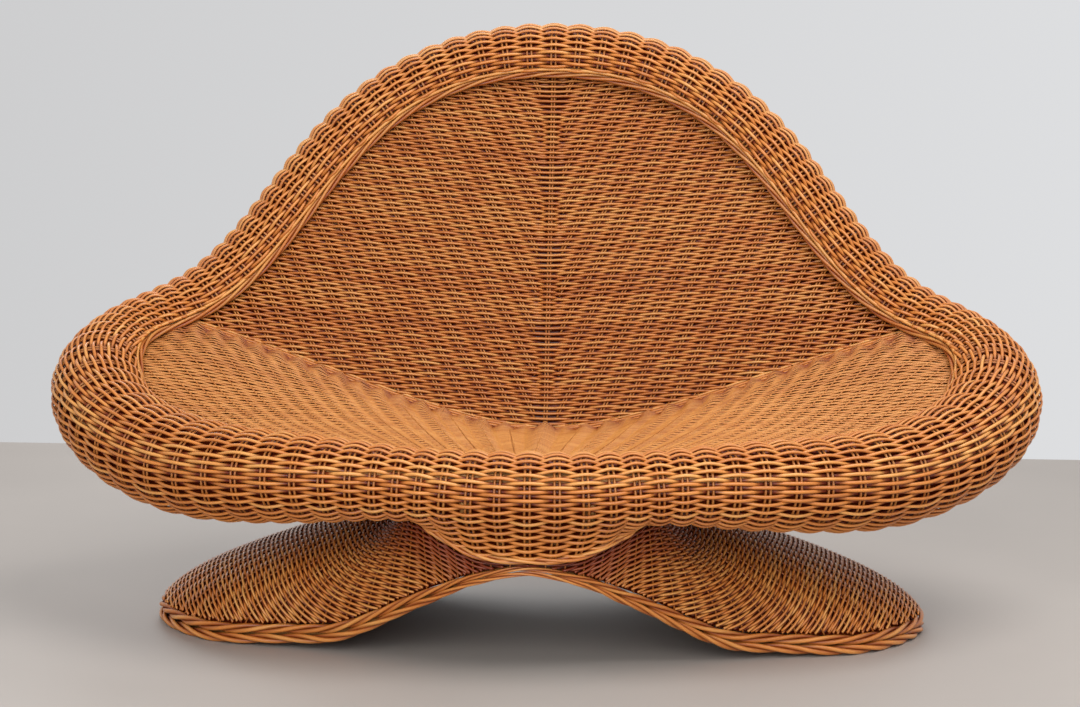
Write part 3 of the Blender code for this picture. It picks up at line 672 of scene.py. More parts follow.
def wobble(path, normals, kept):
    """Small waves across a strand, which end as they began round a closed one."""
    steps = np.linalg.norm(np.diff(path, axis=0), axis=1)
    length = steps[kept[1:] & kept[:-1]].sum()
    share = np.linspace(0, 2 * math.pi, len(path), endpoint=False)
    waves = np.zeros(len(path))
    for wave in WOBBLE_LENGTHS:
        waves += np.sin(max(round(length / wave), 1) * share + WOBBLE_START * RANDOM.random())
    across = unit(np.cross(steps_along(path, True), normals) + NUDGE * normals)
    return WOBBLE * waves[:, None] * across


def sheltered(heights, shelter):
    """How open to light strands are, from 1 down to 1 - shelter where they lie lowest."""
    depth = -heights / np.abs(heights).max()
    return 1 - shelter * np.clip((depth - SHELTER_FROM) / (SHELTER_FULL - SHELTER_FROM), 0, 1)


# Weave of the body

SHELL_BELOW = {
    "front": "front_apron", "right_arm": "right_underarm", "back": "rear_shell", "left_arm": "left_underarm",
}
SECTORS = len(SHELL_BELOW)


def pair_columns():
    """Places round the rim, STEPS_PER_PAIR to each pair of stakes, for an even number of pairs."""
    dense = np.linspace(0, 1, LOOP_SAMPLES)
    line = in_roll(dense, radius_at(dense), np.zeros((len(dense), 1)))
    steps = np.linalg.norm(np.diff(line, axis=0), axis=1) / pair_gap_at(dense)[1:, 0]
    pairs = np.concatenate([[0], np.cumsum(steps)])
    count = 2 * round(pairs[-1] / 2) * STEPS_PER_PAIR
    return np.interp(pairs[-1] * np.arange(count) / count, pairs, dense)


def sector_of(u):
    """Numbers of the stretches of the rim, in the order of SHELL_BELOW."""
    bend, shoulder = u_of("front_bend"), u_of("shoulder_low")
    return np.searchsorted([bend, shoulder, 1 - shoulder, 1 - bend], u, side="right") % SECTORS


def weave_body():
    """Strands and stakes of the roll and of the shell below it, as one piece for each solid."""
    u = pair_columns()
    count = len(u)
    grid = body_grid(u)
    normals = outward(grid, closed=True)
    above = radius_at(u)[:, 0] * np.radians(lip_at(u)[:, 0])
    roll_end = -radius_at(u)[:, 0] * np.radians(tail_at(u)[:, 0])
    distances = run_along(grid, axis=1) - above[:, None]
    below = distances[:, -1]
    sectors = sector_of(u)
    pieces = [Strands() for _ in range(2 * SECTORS)]

    upper = int(above.max() / ROLL_PITCH) + 1
    lower = int(below.max() / ROLL_PITCH) + 1
    numbers = np.arange(-upper, lower + 1)
    wanted = np.broadcast_to(numbers * ROLL_PITCH, (count, len(numbers))).copy()
    squeeze = np.minimum(1, below / ((FULL_ROWS + 0.5) * ROLL_PITCH))
    full = (numbers > 0) & (numbers <= FULL_ROWS)
    wanted[:, full] *= squeeze[:, None]
    kept = (wanted > (LIP_MARGIN - above)[:, None]) & (wanted < below[:, None])
    group = sectors[:, None] + SECTORS * (wanted > roll_end[:, None])

    pair = np.arange(count)[:, None] / STEPS_PER_PAIR
    thinned = numbers * ROLL_PITCH > THIN_OUT
    pair = np.where(thinned, pair / 2, pair)
    heights = ROLL_SWING * np.cos(math.pi * (pair + numbers))
    points = pick(grid, distances, wanted)
    ups = unit(pick(normals, distances, wanted))
    shade = sheltered(heights, ROLL_SHELTER)
    sparse = np.flatnonzero(thinned)
    weave_rows(points, ups, heights, shade, REED, kept, group, pieces, closed=True, sparse=sparse)
    stake_body(grid, normals, distances, above, roll_end, sectors, pieces)
    shade_sheet_body(grid, normals, sectors, pieces)
    rope_tongue(pieces[SECTORS])
    return pieces


def stake_body(grid, normals, distances, above, roll_end, sectors, pieces):
    """Pairs of rods from the lip to the waist, cut where the roll's piece meets the shell's."""
    sources = (grid, normals, unit(steps_along(grid, True)))
    for number in range(len(grid) // STEPS_PER_PAIR):
        column = number * STEPS_PER_PAIR
        end = distances[column, -1]
        if number % 2:
            end = min(end, THIN_OUT)
        stretch = (-above[column], roll_end[column], end)
        for part in (0, 1):
            start, stop = stretch[part], stretch[part + 1]
            steps = max(int((stop - start) / STAKE_STEP), 2)
            wanted = np.linspace(start, stop, steps + 1)[None]
            here = slice(column, column + 1)
            path, up, side = (pick(values[here], distances[here], wanted)[0] for values in sources)
            piece = pieces[sectors[column] + SECTORS * part]
            for lean in (-1, 1):
                piece.add_rod(path + unit(side) * PAIR_HALF_GAP * lean, unit(up), STAKE, *STAKE_LOOK)


def shade_sheet_body(grid, normals, sectors, pieces):
    """The dark sheet of painted shade behind the roll and the shell, cut where the pieces meet."""
    inner = grid - normals * SHADE_SHEET_DEPTH
    loop = np.concatenate([inner, inner[:1]])
    for number in range(SECTORS):
        inside = np.flatnonzero(sectors == number)
        if number == 0:
            inside = np.sort((inside + len(grid) // 2) % len(grid)) - len(grid) // 2
        columns = np.append(inside[::SHADE_SHEET_STEP], inside[-1] + 1) % len(grid)
        pieces[number].add_shade_sheet(loop[columns][:, 0:ROLL_STEPS + 1:SHADE_SHEET_STEP])
        pieces[number + SECTORS].add_shade_sheet(loop[columns][:, ROLL_STEPS::SHADE_SHEET_STEP])


def rope_tongue(piece):
    """Strands gathered along the lower edge of the front, from one side of the tongue to the other."""
    bend = u_of("front_bend")
    u = np.linspace(-bend, bend, TONGUE_SAMPLES)
    grid = body_grid(u)
    out = outward(grid, closed=False)[:, -1]
    down = unit(grid[:, -1] - grid[:, -2])
    path = grid[:, -1] + out * TONGUE_ROPE / 2 - down * TONGUE_ROPE
    add_rope(piece, path, out, down, np.full(len(u), TONGUE_ROPE), TONGUE_LAY, closed=False)


# Weave of the seat and the back

def panel_edge(u):
    """Outer edge of the panels, tucked under the lip of the roll."""
    centre, out, face = rim_frame(u)
    turn = np.radians(lip_at(u))
    reach = radius_at(u) - (SKIN / 2 + CLEARANCE + LIP_HOOP)
    level = reach * np.sin(turn) - LIP_HOOP - CLEARANCE - LIP_EASE - SKIN / 2
    return centre + out * (reach * np.cos(turn) + LIP_TUCK) + face * level


CORNER = u_of("arm_rear") + CORNER_SHARE * (u_of("shoulder_low") - u_of("arm_rear"))


def crease_point(share):
    """The crease, from share -1 at the left corner to 1 at the right one."""
    corner = panel_edge(np.array([CORNER]))[0]
    points = (CREASE_CENTRE, CREASE_INNER_HANDLE, CREASE_OUTER_HANDLE, corner)
    mirror = np.ones((len(share), 3))
    mirror[:, 0] = np.sign(share)
    return bezier(points, np.abs(share)[:, None]) * mirror


def crease_way(share, back):
    """Ways from the crease up the back, or along the seat."""
    along = unit(crease_point(np.minimum(share + NUDGE, 1)) - crease_point(np.maximum(share - NUDGE, -1)))
    lean = BACK_RAKE if back else SEAT_RISE - math.pi / 2
    way = np.array([0, math.sin(lean), math.cos(lean)])
    return unit(way - along * (along @ way)[:, None])


def panel_grid(back):
    """Points of the seat or back panel, from the left corner to the right and from lip to crease."""
    share = np.linspace(-PANEL_END, PANEL_END, PANEL_COLUMNS)
    u = 0.5 - share * (0.5 - CORNER) if back else share * CORNER
    edge, way = panel_edge(u)[:, None], crease_way(share, back)[:, None]
    end = crease_point(share)[:, None] + way * CREASE_SETBACK
    length = length_of(end - edge)
    v = np.linspace(0, 1, PANEL_ROWS)[:, None]
    return hermite(edge, -rim_frame(u)[1][:, None] * length, end, -way * length, v)


def panel_tree(back):
    """A panel's surface for rays to meet, with its points."""
    grid = panel_grid(back)
    ids = np.arange(grid.shape[0] * grid.shape[1]).reshape(grid.shape[:2])
    quads = np.stack([ids[:-1, :-1], ids[1:, :-1], ids[1:, 1:], ids[:-1, 1:]], axis=-1).reshape(-1, 4)
    return BVHTree.FromPolygons(grid.reshape(-1, 3).tolist(), quads.tolist()), grid


def cast_rows(tree, x, y, z, way):
    """Points where rays meet a panel, with the panel's normals there facing back, and which rays met it."""
    starts = np.stack(np.broadcast_arrays(x, y, z), axis=-1)
    points = np.zeros_like(starts)
    normals = np.tile(-np.array(way, float), (*starts.shape[:2], 1))
    met = np.zeros(starts.shape[:2], bool)
    for i, j in np.ndindex(met.shape):
        spot, normal, _, _ = tree.ray_cast(Vector(starts[i, j]), Vector(way))
        if spot is None:
            continue
        met[i, j] = True
        points[i, j] = spot
        normals[i, j] = normal if normal.dot(Vector(way)) < 0 else -normal
    return points, normals, met


def smooth_along(values, met):
    """Values averaged with their neighbours along a row where all three were met."""
    inner = met[:-2] & met[1:-1] & met[2:]
    mean = (values[:-2] + 2 * values[1:-1] + values[2:]) / 4
    result = values.copy()
    result[1:-1][inner] = mean[inner]
    return result


def stake_panel(piece, cast, wanted, lift, radius):
    """Rods along the stretches of a line of rays that met a panel where rods are wanted."""
    spots, normals, met = (values[:, 0] for values in cast)
    path = spots + normals * lift
    for start, end in stretches(met & wanted, np.zeros(len(met), int)):
        if end - start >= 2:
            chosen = slice(start, end + 1)
            piece.add_rod(path[chosen], normals[chosen], radius, *PANEL_STAKE_LOOK)


def shade_sheet_panel(grid, back, piece):
    """The dark sheet of painted shade behind a panel."""
    normals = outward(grid, closed=False)
    front = np.array([0, -1, 0]) if back else UP
    turn = np.sign((normals * front).sum(axis=-1, keepdims=True))
    inner = (grid - normals * turn * SHADE_SHEET_DEPTH)[::SHADE_SHEET_STEP, ::SHADE_SHEET_STEP]
    piece.add_shade_sheet(inner if back else inner[::-1])


def weave_back():
    """Rows over a spine and the veins that lean away from it."""
    tree, grid = panel_tree(True)
    points = grid.reshape(-1, 3)
    reach = np.abs(points[:, 0]).max()
    x = np.arange(-reach, reach, BACK_STEP)
    climb = BACK_CLIMB * np.hypot(x, SPINE_BLEND)[:, None]
    z = np.arange(points[:, 2].min() - climb.max(), points[:, 2].max(), BACK_PITCH) + climb
    spots, normals, met = cast_rows(tree, x[:, None], RAY_FRONT, z, REARWARD)
    normals = unit(smooth_along(normals, met))
    rows = np.arange(z.shape[1])
    vein = (np.abs(x)[:, None] - (z - VEIN_START) * VEIN_SLOPE) / VEIN_STEP
    veined = np.cos(math.pi * (vein + rows))
    blend = np.clip((np.abs(x) - SPINE_HALF) / SPINE_BLEND, 0, 1)[:, None]
    wave = blend * veined + (1 - blend) * np.cos(math.pi * rows)
    heights = BACK_SWING * np.sign(wave) * np.abs(wave) ** BACK_CRIMP
    shade = BACK_SHADE * sheltered(heights, BACK_SHELTER)
    piece = weave_piece(spots + normals * BACK_LIFT, normals, heights, shade, BACK_REED, met)
    stake_back(tree, points, piece)
    shade_sheet_panel(grid, True, piece)
    edge_back(piece)
    return piece


def stake_back(tree, points, piece):
    """Pairs of rods up the spine and along the veins."""
    low, high = points[:, 2].min(), points[:, 2].max()
    reach = np.abs(points[:, 0]).max()
    z = np.arange(low, high, STAKE_STEP)
    first = int((low - high) * VEIN_SLOPE / VEIN_STEP) - 1
    last = int(reach / VEIN_STEP) + 2
    lines = [(np.zeros_like(z), 0)]
    for number in range(first, last):
        x = number * VEIN_STEP + (z - VEIN_START) * VEIN_SLOPE
        lines += [(x, 1), (-x, -1)]
    for x, side in lines:
        for lean in (-1, 1):
            shifted = x + lean * VEIN_HALF_GAP
            cast = cast_rows(tree, shifted[:, None], RAY_FRONT, z[:, None], REARWARD)
            wanted = (side == 0) | (shifted * side > SPINE_HALF + SPINE_BLEND)
            stake_panel(piece, cast, wanted, BACK_LIFT, VEIN_STAKE)


def edge_back(piece):
    """Strands along the crease, which close the back against the seat."""
    reach = np.abs(panel_grid(False)[:, -1, 0]).max()
    share = np.linspace(-PANEL_END, PANEL_END, int(2 * reach / CREASE_STEP))
    line = crease_point(share)
    back_way, seat_way = crease_way(share, True), crease_way(share, False)
    away = unit(back_way + seat_way)
    for climb in np.linspace(CREASE_FIRST, 1, CREASE_STRANDS):
        path = line + away * CREASE_LIFT + CREASE_REACH * (climb * back_way + (1 - climb) * seat_way)
        piece.add_rings(tube_rings(path, away, *CREASE_REED, STRAND_SIDES), RANDOM.random(), CREASE_SHADE)


def fan_stake(x, y):
    """The number of a seat stake at a place, counted from the middle to either side."""
    angle = np.abs(np.arctan2(x, y - FAN_CENTRE))
    return (np.exp(FAN_GROWTH * angle) - 1) / (FAN_GROWTH * FAN_FIRST)


def fan_angle(number):
    """The angle at the fan's centre of the seat stake with a number."""
    return math.copysign(math.log(1 + abs(number) * FAN_FIRST * FAN_GROWTH) / FAN_GROWTH, number)


def seat_relief(x, y):
    """How far the seat swells over its stakes, most at the spine and least at the sides."""
    angle, stake = np.arctan2(x, y - FAN_CENTRE), fan_stake(x, y)
    flutes = SEAT_FLUTE * np.cos(2 * math.pi * stake) * np.exp(-(angle / FLUTE_SPREAD) ** 2)
    return flutes + SEAT_SPINE * np.exp(-(SEAT_SPINE_TAPER * stake) ** 2)


def seat_gather(x, y):
    """How strongly the crease gathers the seat at a place, and how near the place is to a ridge."""
    line = crease_point(np.linspace(0, 1, GATHER_SAMPLES))
    ahead = np.interp(np.abs(x), line[:, 0], line[:, 1]) - y
    ridge = 0.5 + 0.5 * np.cos(2 * math.pi * np.abs(x) / GATHER_GAP)
    return np.exp(-np.maximum(ahead, 0) / GATHER_REACH), ridge


def weave_seat():
    """Close rows from side to side over stakes that run from front to back."""
    tree, grid = panel_tree(False)
    points = grid.reshape(-1, 3)
    reach = np.abs(points[:, 0]).max()
    x = np.arange(-reach, reach, SEAT_STEP)[:, None]
    y = np.arange(points[:, 1].min(), points[:, 1].max(), SEAT_PITCH)
    spots, normals, met = cast_rows(tree, x, y, RAY_HEIGHT, DOWN)
    normals = unit(smooth_along(normals, met))
    rows = np.arange(len(y))
    swing = SEAT_SWING * np.where(rows % SEAT_DEEP_ROW, 1, SEAT_DEEPER)
    heights = swing * np.cos(math.pi * (fan_stake(x, y) + rows))
    gather, ridge = seat_gather(x, y)
    # Painted shade: darker under stakes, near the crease, and most in the folds between its ridges
    shade = sheltered(heights, SEAT_SHELTER) * (1 - gather * (GATHER_DIM + GATHER_SHADE * (1 - ridge)))
    lift = SEAT_LIFT + (seat_relief(x, y) + GATHER_SWELL * gather * ridge)
    piece = weave_piece(spots + normals * lift[..., None], normals, heights, shade, SEAT_REED, met)
    stake_seat(tree, points, piece)
    shade_sheet_panel(grid, False, piece)
    return piece


def stake_seat(tree, points, piece):
    """Rods that fan out from front to back."""
    reach, front, rear = np.abs(points[:, 0]).max(), points[:, 1].min(), points[:, 1].max()
    along = np.arange(front, rear, STAKE_STEP)
    columns = int(fan_stake(reach, front))
    for number in range(-columns, columns + 1):
        spread = math.tan(fan_angle(number)) * (along - FAN_CENTRE)
        cast = cast_rows(tree, spread[:, None], along[:, None], RAY_HEIGHT, DOWN)
        lift = SEAT_LIFT + SEAT_STAKE_LIFT + seat_relief(spread, along)
        stake_panel(piece, cast, True, lift[:, None], SEAT_STAKE)


# Weave and ropes of the feet

def border_foot(u):
    """Middle of the border's underside."""
    return np.concatenate([border_plan_at(u)[..., :2], border_rise_at(u)[..., 2:]], axis=-1)


def border_out(u):
    """Level ways out across the border."""
    slope = border_plan_at(u + NUDGE) - border_plan_at(u - NUDGE)
    return unit(np.stack([slope[:, 1], -slope[:, 0], np.zeros(len(u))], axis=-1))


def foot_grid(u):
    """Points of a foot's skin at each u, from the waist to the border."""
    body = body_grid(u)
    start = (body[:, -1] - outward(body, False)[:, -1] * (SKIN + LAP_GAP))[:, None]
    end = (border_foot(u) + height_at(u) * UP)[:, None]
    fall = end - start
    out, down = fall * (1, 1, 0), fall * (0, 0, 1)
    first = start + out * FOOT_TOP_OUT + down * FOOT_TOP_DOWN
    last = end - out * FOOT_END_OUT - down * FOOT_END_DOWN
    return bezier((start, first, last, end), np.linspace(0, 1, FOOT_ROWS + 1)[:, None])


def weave_foot(side):
    """Strands across a foot from border to border, over stakes that run out from the waist."""
    u = np.linspace(-FOOT_OVERLAP, 0.5 + FOOT_OVERLAP, FOOT_STEPS * FOOT_DENSE)
    run = run_along(foot_grid(u)[:, FOOT_ROWS // 2])
    grid = foot_grid(np.interp(np.linspace(0, run[-1], FOOT_STEPS), run, u))
    normals = outward(grid, closed=False)
    if side < 0:
        grid, normals = grid * MIRROR, normals * MIRROR
    distances = run_along(grid, axis=1)
    rows = np.arange(int(distances.max() / FOOT_PITCH) + 1)
    wanted = np.broadcast_to(rows * FOOT_PITCH, (FOOT_STEPS, len(rows)))
    kept = wanted < distances[:, -1:]
    stake = np.linspace(0, FOOT_STAKES, FOOT_STEPS)[:, None]
    heights = FOOT_SWING * np.cos(math.pi * (stake + rows))
    spots = pick(grid, distances, wanted)
    ups = unit(pick(normals, distances, wanted))
    shade = sheltered(heights, FOOT_SHELTER) * np.clip(FOOT_SHADOW[0] + wanted / FOOT_SHADOW[1], 0, 1)
    piece = weave_piece(spots, ups, heights, shade, FOOT_REED, kept)
    for number in range(1, FOOT_STAKES):
        column = round(number * (FOOT_STEPS - 1) / FOOT_STAKES)
        piece.add_rod(grid[column, ::2], normals[column, ::2], FOOT_STAKE, *FOOT_STAKE_LOOK)
    # A dark sheet of painted shade behind the foot's weave
    shade_sheet = (grid - normals * SHADE_SHEET_DEPTH)[::SHADE_SHEET_STEP, ::SHADE_SHEET_STEP]
    piece.add_shade_sheet(shade_sheet if side > 0 else shade_sheet[::-1])
    return piece


def add_rope(piece, path, out, up, radius, lay, flatten=1.0, closed=True):
    """Twisted strands round a path, which touch each other. A lay below zero twists the other way."""
    run = np.cumsum(np.linalg.norm(path - np.roll(path, 1, axis=0), axis=1))
    if not closed:
        run -= run[0]
    turns = round(run[-1] / lay)
    strand = radius / (1 + 2 / math.sqrt(3))
    for number in range(ROPE_STRANDS):
        turn = 2 * math.pi * (turns * run / run[-1] + number / ROPE_STRANDS)[:, None]
        across, rise = np.cos(turn) * out * flatten, np.sin(turn) * up
        reach = (radius - strand)[:, None]
        line = path + reach * (across + rise)
        away = unit(np.cos(turn) * out + np.sin(turn) * up)
        rings = tube_rings(line, away, strand, strand, ROPE_SIDES, closed)
        shade = ROPE_SHADE + (1 - ROPE_SHADE) * np.cos(turn[:, 0])
        if closed:
            rings, shade = np.concatenate([rings, rings[:1]]), np.append(shade, shade[0])
        piece.add_rings(rings, RANDOM.random(), shade, not closed, not closed, ROPE_SIDE_SHADE)


def rope_border():
    """Ropes on top of each other round both feet, twisted opposite ways."""
    u = even_loop(border_foot, ROPE_STEP)
    radius = height_at(u)[:, 0] / (2 * BORDER_ROWS)
    piece = Strands()
    for row in range(BORDER_ROWS):
        path = border_foot(u) + UP * radius[:, None] * (2 * row + 1)
        lay = BORDER_LAY if row % 2 else -BORDER_LAY
        add_rope(piece, path, border_out(u), np.broadcast_to(UP, path.shape), radius, lay, BORDER_FLATTEN)
    return piece


def lip_line(u):
    """Middle of the braid along the lip."""
    _, out, face = rim_frame(u)
    turn = np.radians(lip_at(u))
    onward = np.cos(turn) * face - np.sin(turn) * out
    return in_roll(u, radius_at(u), turn) + onward * (LIP_BRAID + CLEARANCE)


def rope_lip():
    """A rope along the lip, slimmer at the front, with one more strand at its outer side."""
    u = even_loop(lip_line, ROPE_STEP)
    _, out, face = rim_frame(u)
    away = np.minimum(u, 1 - u)
    front = np.clip((away - u_of("front_side")) / (u_of("arm_front") - u_of("front_side")), 0, 1)
    slim = LIP_ROPE_FRONT + (1 - LIP_ROPE_FRONT) * front
    piece = Strands()
    add_rope(piece, lip_line(u), out, face, LIP_ROPE * slim, LIP_LAY)
    line = in_roll(u, radius_at(u) + LIP_EDGE_LIFT, np.radians(lip_at(u)) - LIP_EDGE / radius_at(u))
    rings = tube_rings(line, line - rim_at(u), slim * REED[0], slim * REED[1], STRAND_SIDES, closed=True)
    piece.add_rings(np.concatenate([rings, rings[:1]]), RANDOM.random(), 1.0, False, False)
    return piece


# Materials

def linear(*colour):
    """A colour of 0 to 255 values as the renderer takes it."""
    shares = [value / 255 for value in colour]
    return (*[share / 12.92 if share <= 0.04045 else ((share + 0.055) / 1.055) ** 2.4 for share in shares], 1)


def new_material(name):
    material = bpy.data.materials.new(name)
    material.use_nodes = True
    tree = material.node_tree
    return material, tree, tree.nodes["Principled BSDF"]


def add_node(tree, kind, inputs=None, **settings):
    """A new node, with its settings, and its inputs set to values or linked to other nodes' outputs."""
    node = tree.nodes.new(kind)
    for key, value in settings.items():
        setattr(node, key, value)
    for key, value in (inputs or {}).items():
        if isinstance(value, bpy.types.NodeSocket):
            tree.links.new(value, node.inputs[key])
        else:
            node.inputs[key].default_value = value
    return node


def add_ramp(tree, factor, colours):
    """A colour ramp with its colours at equal steps."""
    ramp = add_node(tree, "ShaderNodeValToRGB", {"Fac": factor})
    stops = ramp.color_ramp.elements
    while len(stops) < len(colours):
        stops.new(0.5)
    for number, colour in enumerate(colours):
        stops[number].position = number / (len(colours) - 1)
        stops[number].color = linear(*colour)
    return ramp.outputs["Color"]


def multiply_colours(tree, first, second):
    inputs = {0: 1.0, 6: first, 7: second}
    return add_node(tree, "ShaderNodeMix", inputs, data_type="RGBA", blend_type="MULTIPLY").outputs[2]


def weighed_sum(tree, parts):
    """The sum of values, each times its share."""
    total = 0.0
    for value, share in parts:
        inputs = {0: value, 1: share, 2: total}
        total = add_node(tree, "ShaderNodeMath", inputs, operation="MULTIPLY_ADD").outputs[0]
    return total


def remap(tree, value, given=(0, 1), wanted=(0, 1)):
    """A value of a given range, spread over the wanted one."""
    ends = dict(zip(("From Min", "From Max", "To Min", "To Max"), (*given, *wanted)))
    return add_node(tree, "ShaderNodeMapRange", {"Value": value, **ends}).outputs["Result"]


def object_space(tree):
    return add_node(tree, "ShaderNodeTexCoord").outputs["Object"]


def add_noise(tree, spot, scale, detail):
    inputs = {"Vector": spot, "Scale": scale, "Detail": detail}
    return add_node(tree, "ShaderNodeTexNoise", inputs).outputs["Fac"]


def read_attribute(tree, name):
    return add_node(tree, "ShaderNodeAttribute", attribute_name=name).outputs["Fac"]


def link_surface(tree, shader, colour, pattern, rough):
    """Gives a shader its colour, and a roughness that follows a pattern."""
    tree.links.new(colour, shader.inputs["Base Color"])
    tree.links.new(remap(tree, pattern, wanted=rough), shader.inputs["Roughness"])


def link_bump(tree, shader, height, strength, distance):
    bump = add_node(tree, "ShaderNodeBump", {"Height": height, "Strength": strength, "Distance": distance})
    tree.links.new(bump.outputs["Normal"], shader.inputs["Normal"])


def reed_material(name, colours, rough, coat):
    """Split rattan: strands of different tone, with fibres along them and painted shade where they are
    sheltered.
    """
    material, tree, shader = new_material(name)
    tone, shade = read_attribute(tree, "tone"), read_attribute(tree, "shade")
    strand = add_node(tree, "ShaderNodeUVMap", uv_map="strand").outputs["UV"]
    drawn = add_node(tree, "ShaderNodeMapping", {"Vector": strand, "Scale": FIBRE_STRETCH}).outputs["Vector"]
    shift = remap(tree, tone, wanted=(0, FIBRE_SHIFT))
    inputs = {"Vector": drawn, "W": shift, "Scale": FIBRE_SIZE, "Detail": FIBRE_DETAIL}
    fibre = add_node(tree, "ShaderNodeTexNoise", inputs, noise_dimensions="4D").outputs["Fac"]
    patch = add_noise(tree, object_space(tree), *PATCH_PATTERN)
    mixed = weighed_sum(tree, ((tone, TONE_SHARE), (fibre, FIBRE_SHARE), (patch, PATCH_SHARE)))
    colour = add_ramp(tree, remap(tree, mixed, SHARE_RANGE), colours)
    # Painted shade: the shade attribute darkens and reddens the colour
    colour = multiply_colours(tree, colour, add_ramp(tree, shade, PAINTED_SHADE_COLOURS))
    link_surface(tree, shader, colour, fibre, rough)
    link_bump(tree, shader, fibre, *REED_BUMP)
    shader.inputs["Coat Weight"].default_value = coat
    shader.inputs["Coat Roughness"].default_value = COAT_ROUGH
    return material


def cloudy_material(name, colours, pattern, rough, gloss):
    """A plain surface with a faint cloudiness, for the sheet of painted shade and the floor."""
    material, tree, shader = new_material(name)
    cloud = add_noise(tree, object_space(tree), *pattern)
    link_surface(tree, shader, add_ramp(tree, cloud, colours), cloud, rough)
    shader.inputs["Specular IOR Level"].default_value = gloss
    return material


def cane_material():
    """Whole rattan pole: long fibres, with a darker ring at each joint of the cane."""
    material, tree, shader = new_material("cane_pole")
    spot = object_space(tree)
    fibre = add_noise(tree, spot, *CANE_PATTERN)
    inputs = {"Vector": spot, "Scale": CANE_JOINT_SCALE}
    joint = add_node(tree, "ShaderNodeTexVoronoi", inputs, feature="DISTANCE_TO_EDGE").outputs["Distance"]
    ring = add_ramp(tree, remap(tree, joint, (0, CANE_JOINT_REACH)), CANE_JOINT)
    colour = multiply_colours(tree, add_ramp(tree, fibre, CANE), ring)
    link_surface(tree, shader, colour, fibre, CANE_ROUGH)
    link_bump(tree, shader, fibre, *CANE_BUMP)
    return material


def dowel_material():
    """Pale turned wood with growth lines."""
    material, tree, shader = new_material("dowel_wood_grain")
    inputs = {"Vector": object_space(tree), **DOWEL_GRAIN}
    grain = add_node(tree, "ShaderNodeTexWave", inputs).outputs["Fac"]
    link_surface(tree, shader, add_ramp(tree, grain, DOWEL), grain, DOWEL_ROUGH)
    return material


# Stage, light and camera

def make_stage():
    """A pale floor that ends some way behind the chair, in front of a plain backdrop."""
    corners = [(side * FLOOR_HALF_WIDTH, y, 0) for side in (-1, 1) for y in (FLOOR_REAR, FLOOR_FRONT)]
    mesh = bpy.data.meshes.new("floor")
    mesh.from_pydata(corners, [], [(0, 1, 3, 2)])
    mesh.materials.append(cloudy_material("floor", **FLOOR_FINISH))
    floor = add_object("floor", mesh)
    floor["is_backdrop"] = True


def make_light(name, spot, aim, power):
    """A round soft light that faces its aim."""
    data = bpy.data.lights.new(name, "AREA")
    data.shape = "DISK"
    data.size = LIGHT_SIZE
    data.energy = power
    light = add_object(name, data)
    light.location = spot
    light.rotation_euler = (Vector(aim) - Vector(spot)).to_track_quat("-Z", "Y").to_euler()


def make_backdrop():
    """Even light from all round, and a pale backdrop where the camera or a reflection meets it."""
    world = bpy.data.worlds.new("studio")
    world.use_nodes = True
    tree = world.node_tree
    light = tree.nodes["Background"]
    light.inputs["Color"].default_value = WORLD_COLOUR
    light.inputs["Strength"].default_value = WORLD_STRENGTH
    way = add_node(tree, "ShaderNodeTexCoord").outputs["Generated"]
    side = add_node(tree, "ShaderNodeSeparateXYZ", {"Vector": way}).outputs["X"]
    share = remap(tree, side, (-BACKDROP_REACH, BACKDROP_REACH))
    pale = add_node(tree, "ShaderNodeBackground", {"Color": add_ramp(tree, share, BACKDROP)})
    ray = add_node(tree, "ShaderNodeLightPath").outputs
    inputs = {0: ray["Is Camera Ray"], 1: ray["Is Glossy Ray"]}
    seen = add_node(tree, "ShaderNodeMath", inputs, operation="MAXIMUM").outputs[0]
    mixed = add_node(tree, "ShaderNodeMixShader", {0: seen, 1: light.outputs[0], 2: pale.outputs[0]})
    tree.links.new(mixed.outputs[0], tree.nodes["World Output"].inputs["Surface"])
    bpy.context.scene.world = world
    bpy.context.scene.view_settings.view_transform = "Standard"


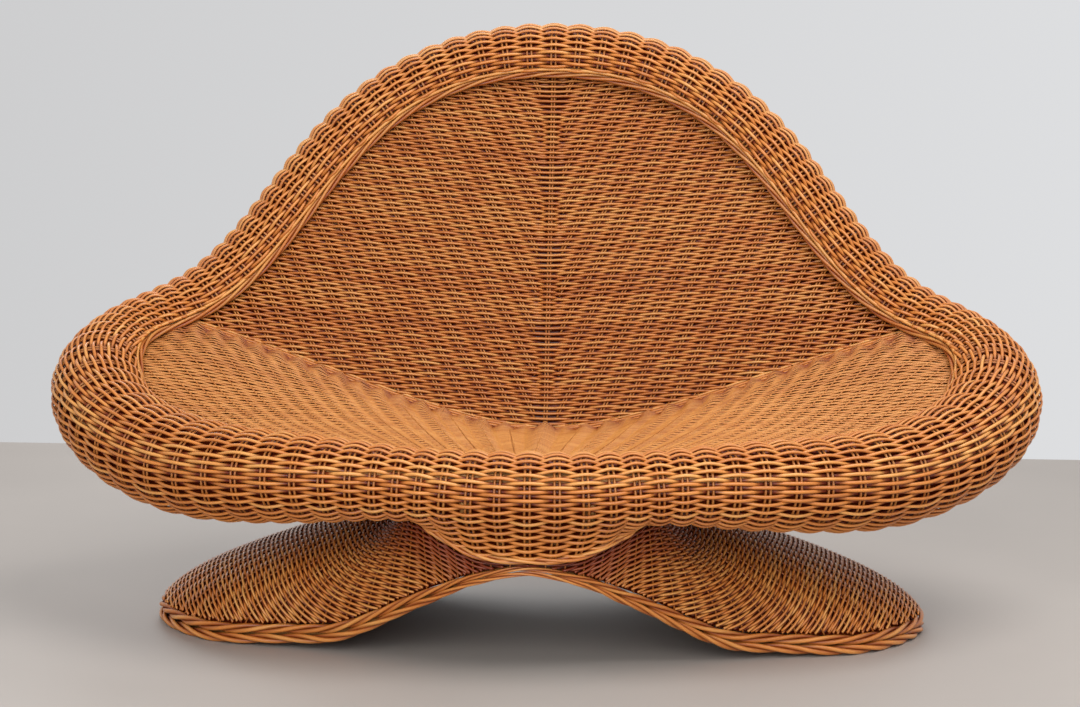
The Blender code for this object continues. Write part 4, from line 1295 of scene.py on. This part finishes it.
def make_camera():
    """A camera in front of the chair, a little to the right of its middle."""
    data = bpy.data.cameras.new("camera")
    data.lens = LENS
    camera = add_object("camera", data)
    x = CAMERA_DISTANCE * math.sin(CAMERA_TURN)
    y = DEPTH_SHIFT - CAMERA_DISTANCE * math.cos(CAMERA_TURN)
    spot = Vector((x, y, CAMERA_HEIGHT))
    aim = Vector(CAMERA_AIM) + Vector((0, DEPTH_SHIFT, 0))
    look = (aim - spot).to_track_quat("-Z", "Y").to_matrix().to_4x4()
    camera.matrix_world = Matrix.Translation(spot) @ look @ Matrix.Rotation(CAMERA_TILT, 4, "Z")
    bpy.context.scene.camera = camera


# The chair

def dress(name, strands, look, *nodes):
    """Builds a piece of the weave, which stands in for the nodes that it covers."""
    slot, *materials = look
    piece = strands.build(name, *materials)
    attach(piece, "root")
    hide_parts(*nodes)


def make_chair():
    # Painted shade: dark sheet in the hollow behind the weave
    shade_sheet = cloudy_material("painted_shade_sheet", **SHADE_SHEET_FINISH)
    weave = ("woven_rattan", reed_material("woven_reed", **WOVEN_FINISH), shade_sheet)
    seat = ("seat_weave", reed_material("seat_reed", **SEAT_FINISH), shade_sheet)
    braid = ("braid", reed_material("braid_reed", **BRAID_FINISH))
    body = weave_body()
    for number, (sector, shell) in enumerate(SHELL_BELOW.items()):
        dress(f"{sector}_roll_strands", body[number], weave, f"{sector}_roll_weave")
        dress(f"{shell}_strands", body[number + SECTORS], weave, f"{shell}_weave")
    dress("back_strands", weave_back(), weave, "back_weave")
    dress("seat_strands", weave_seat(), seat, "seat_weave")
    for name, side in (("left", -1), ("right", 1)):
        dress(f"{name}_foot_strands", weave_foot(side), weave, f"{name}_foot_weave")
    dress("border_ropes", rope_border(), braid, "left_foot_border", "right_foot_border")
    dress("lip_rope", rope_lip(), braid, "lip_braid")


def finish_poles():
    """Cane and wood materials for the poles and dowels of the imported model."""
    cane, wood = cane_material(), dowel_material()
    for name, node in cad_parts.items():
        material = wood if name.endswith("dowel") else cane
        if not node.material_slots:
            node.data.materials.append(material)
        for slot in node.material_slots:
            slot.material = material


make_camera()
make_stage()
for light_name, light in LIGHTS.items():
    make_light(light_name, **light)
make_backdrop()
finish_poles()
make_chair()
boxes = {"cad": CAD_BOX, "visual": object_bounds()}
{name: [list(map(float, corner)) for corner in box] for name, box in boxes.items()}
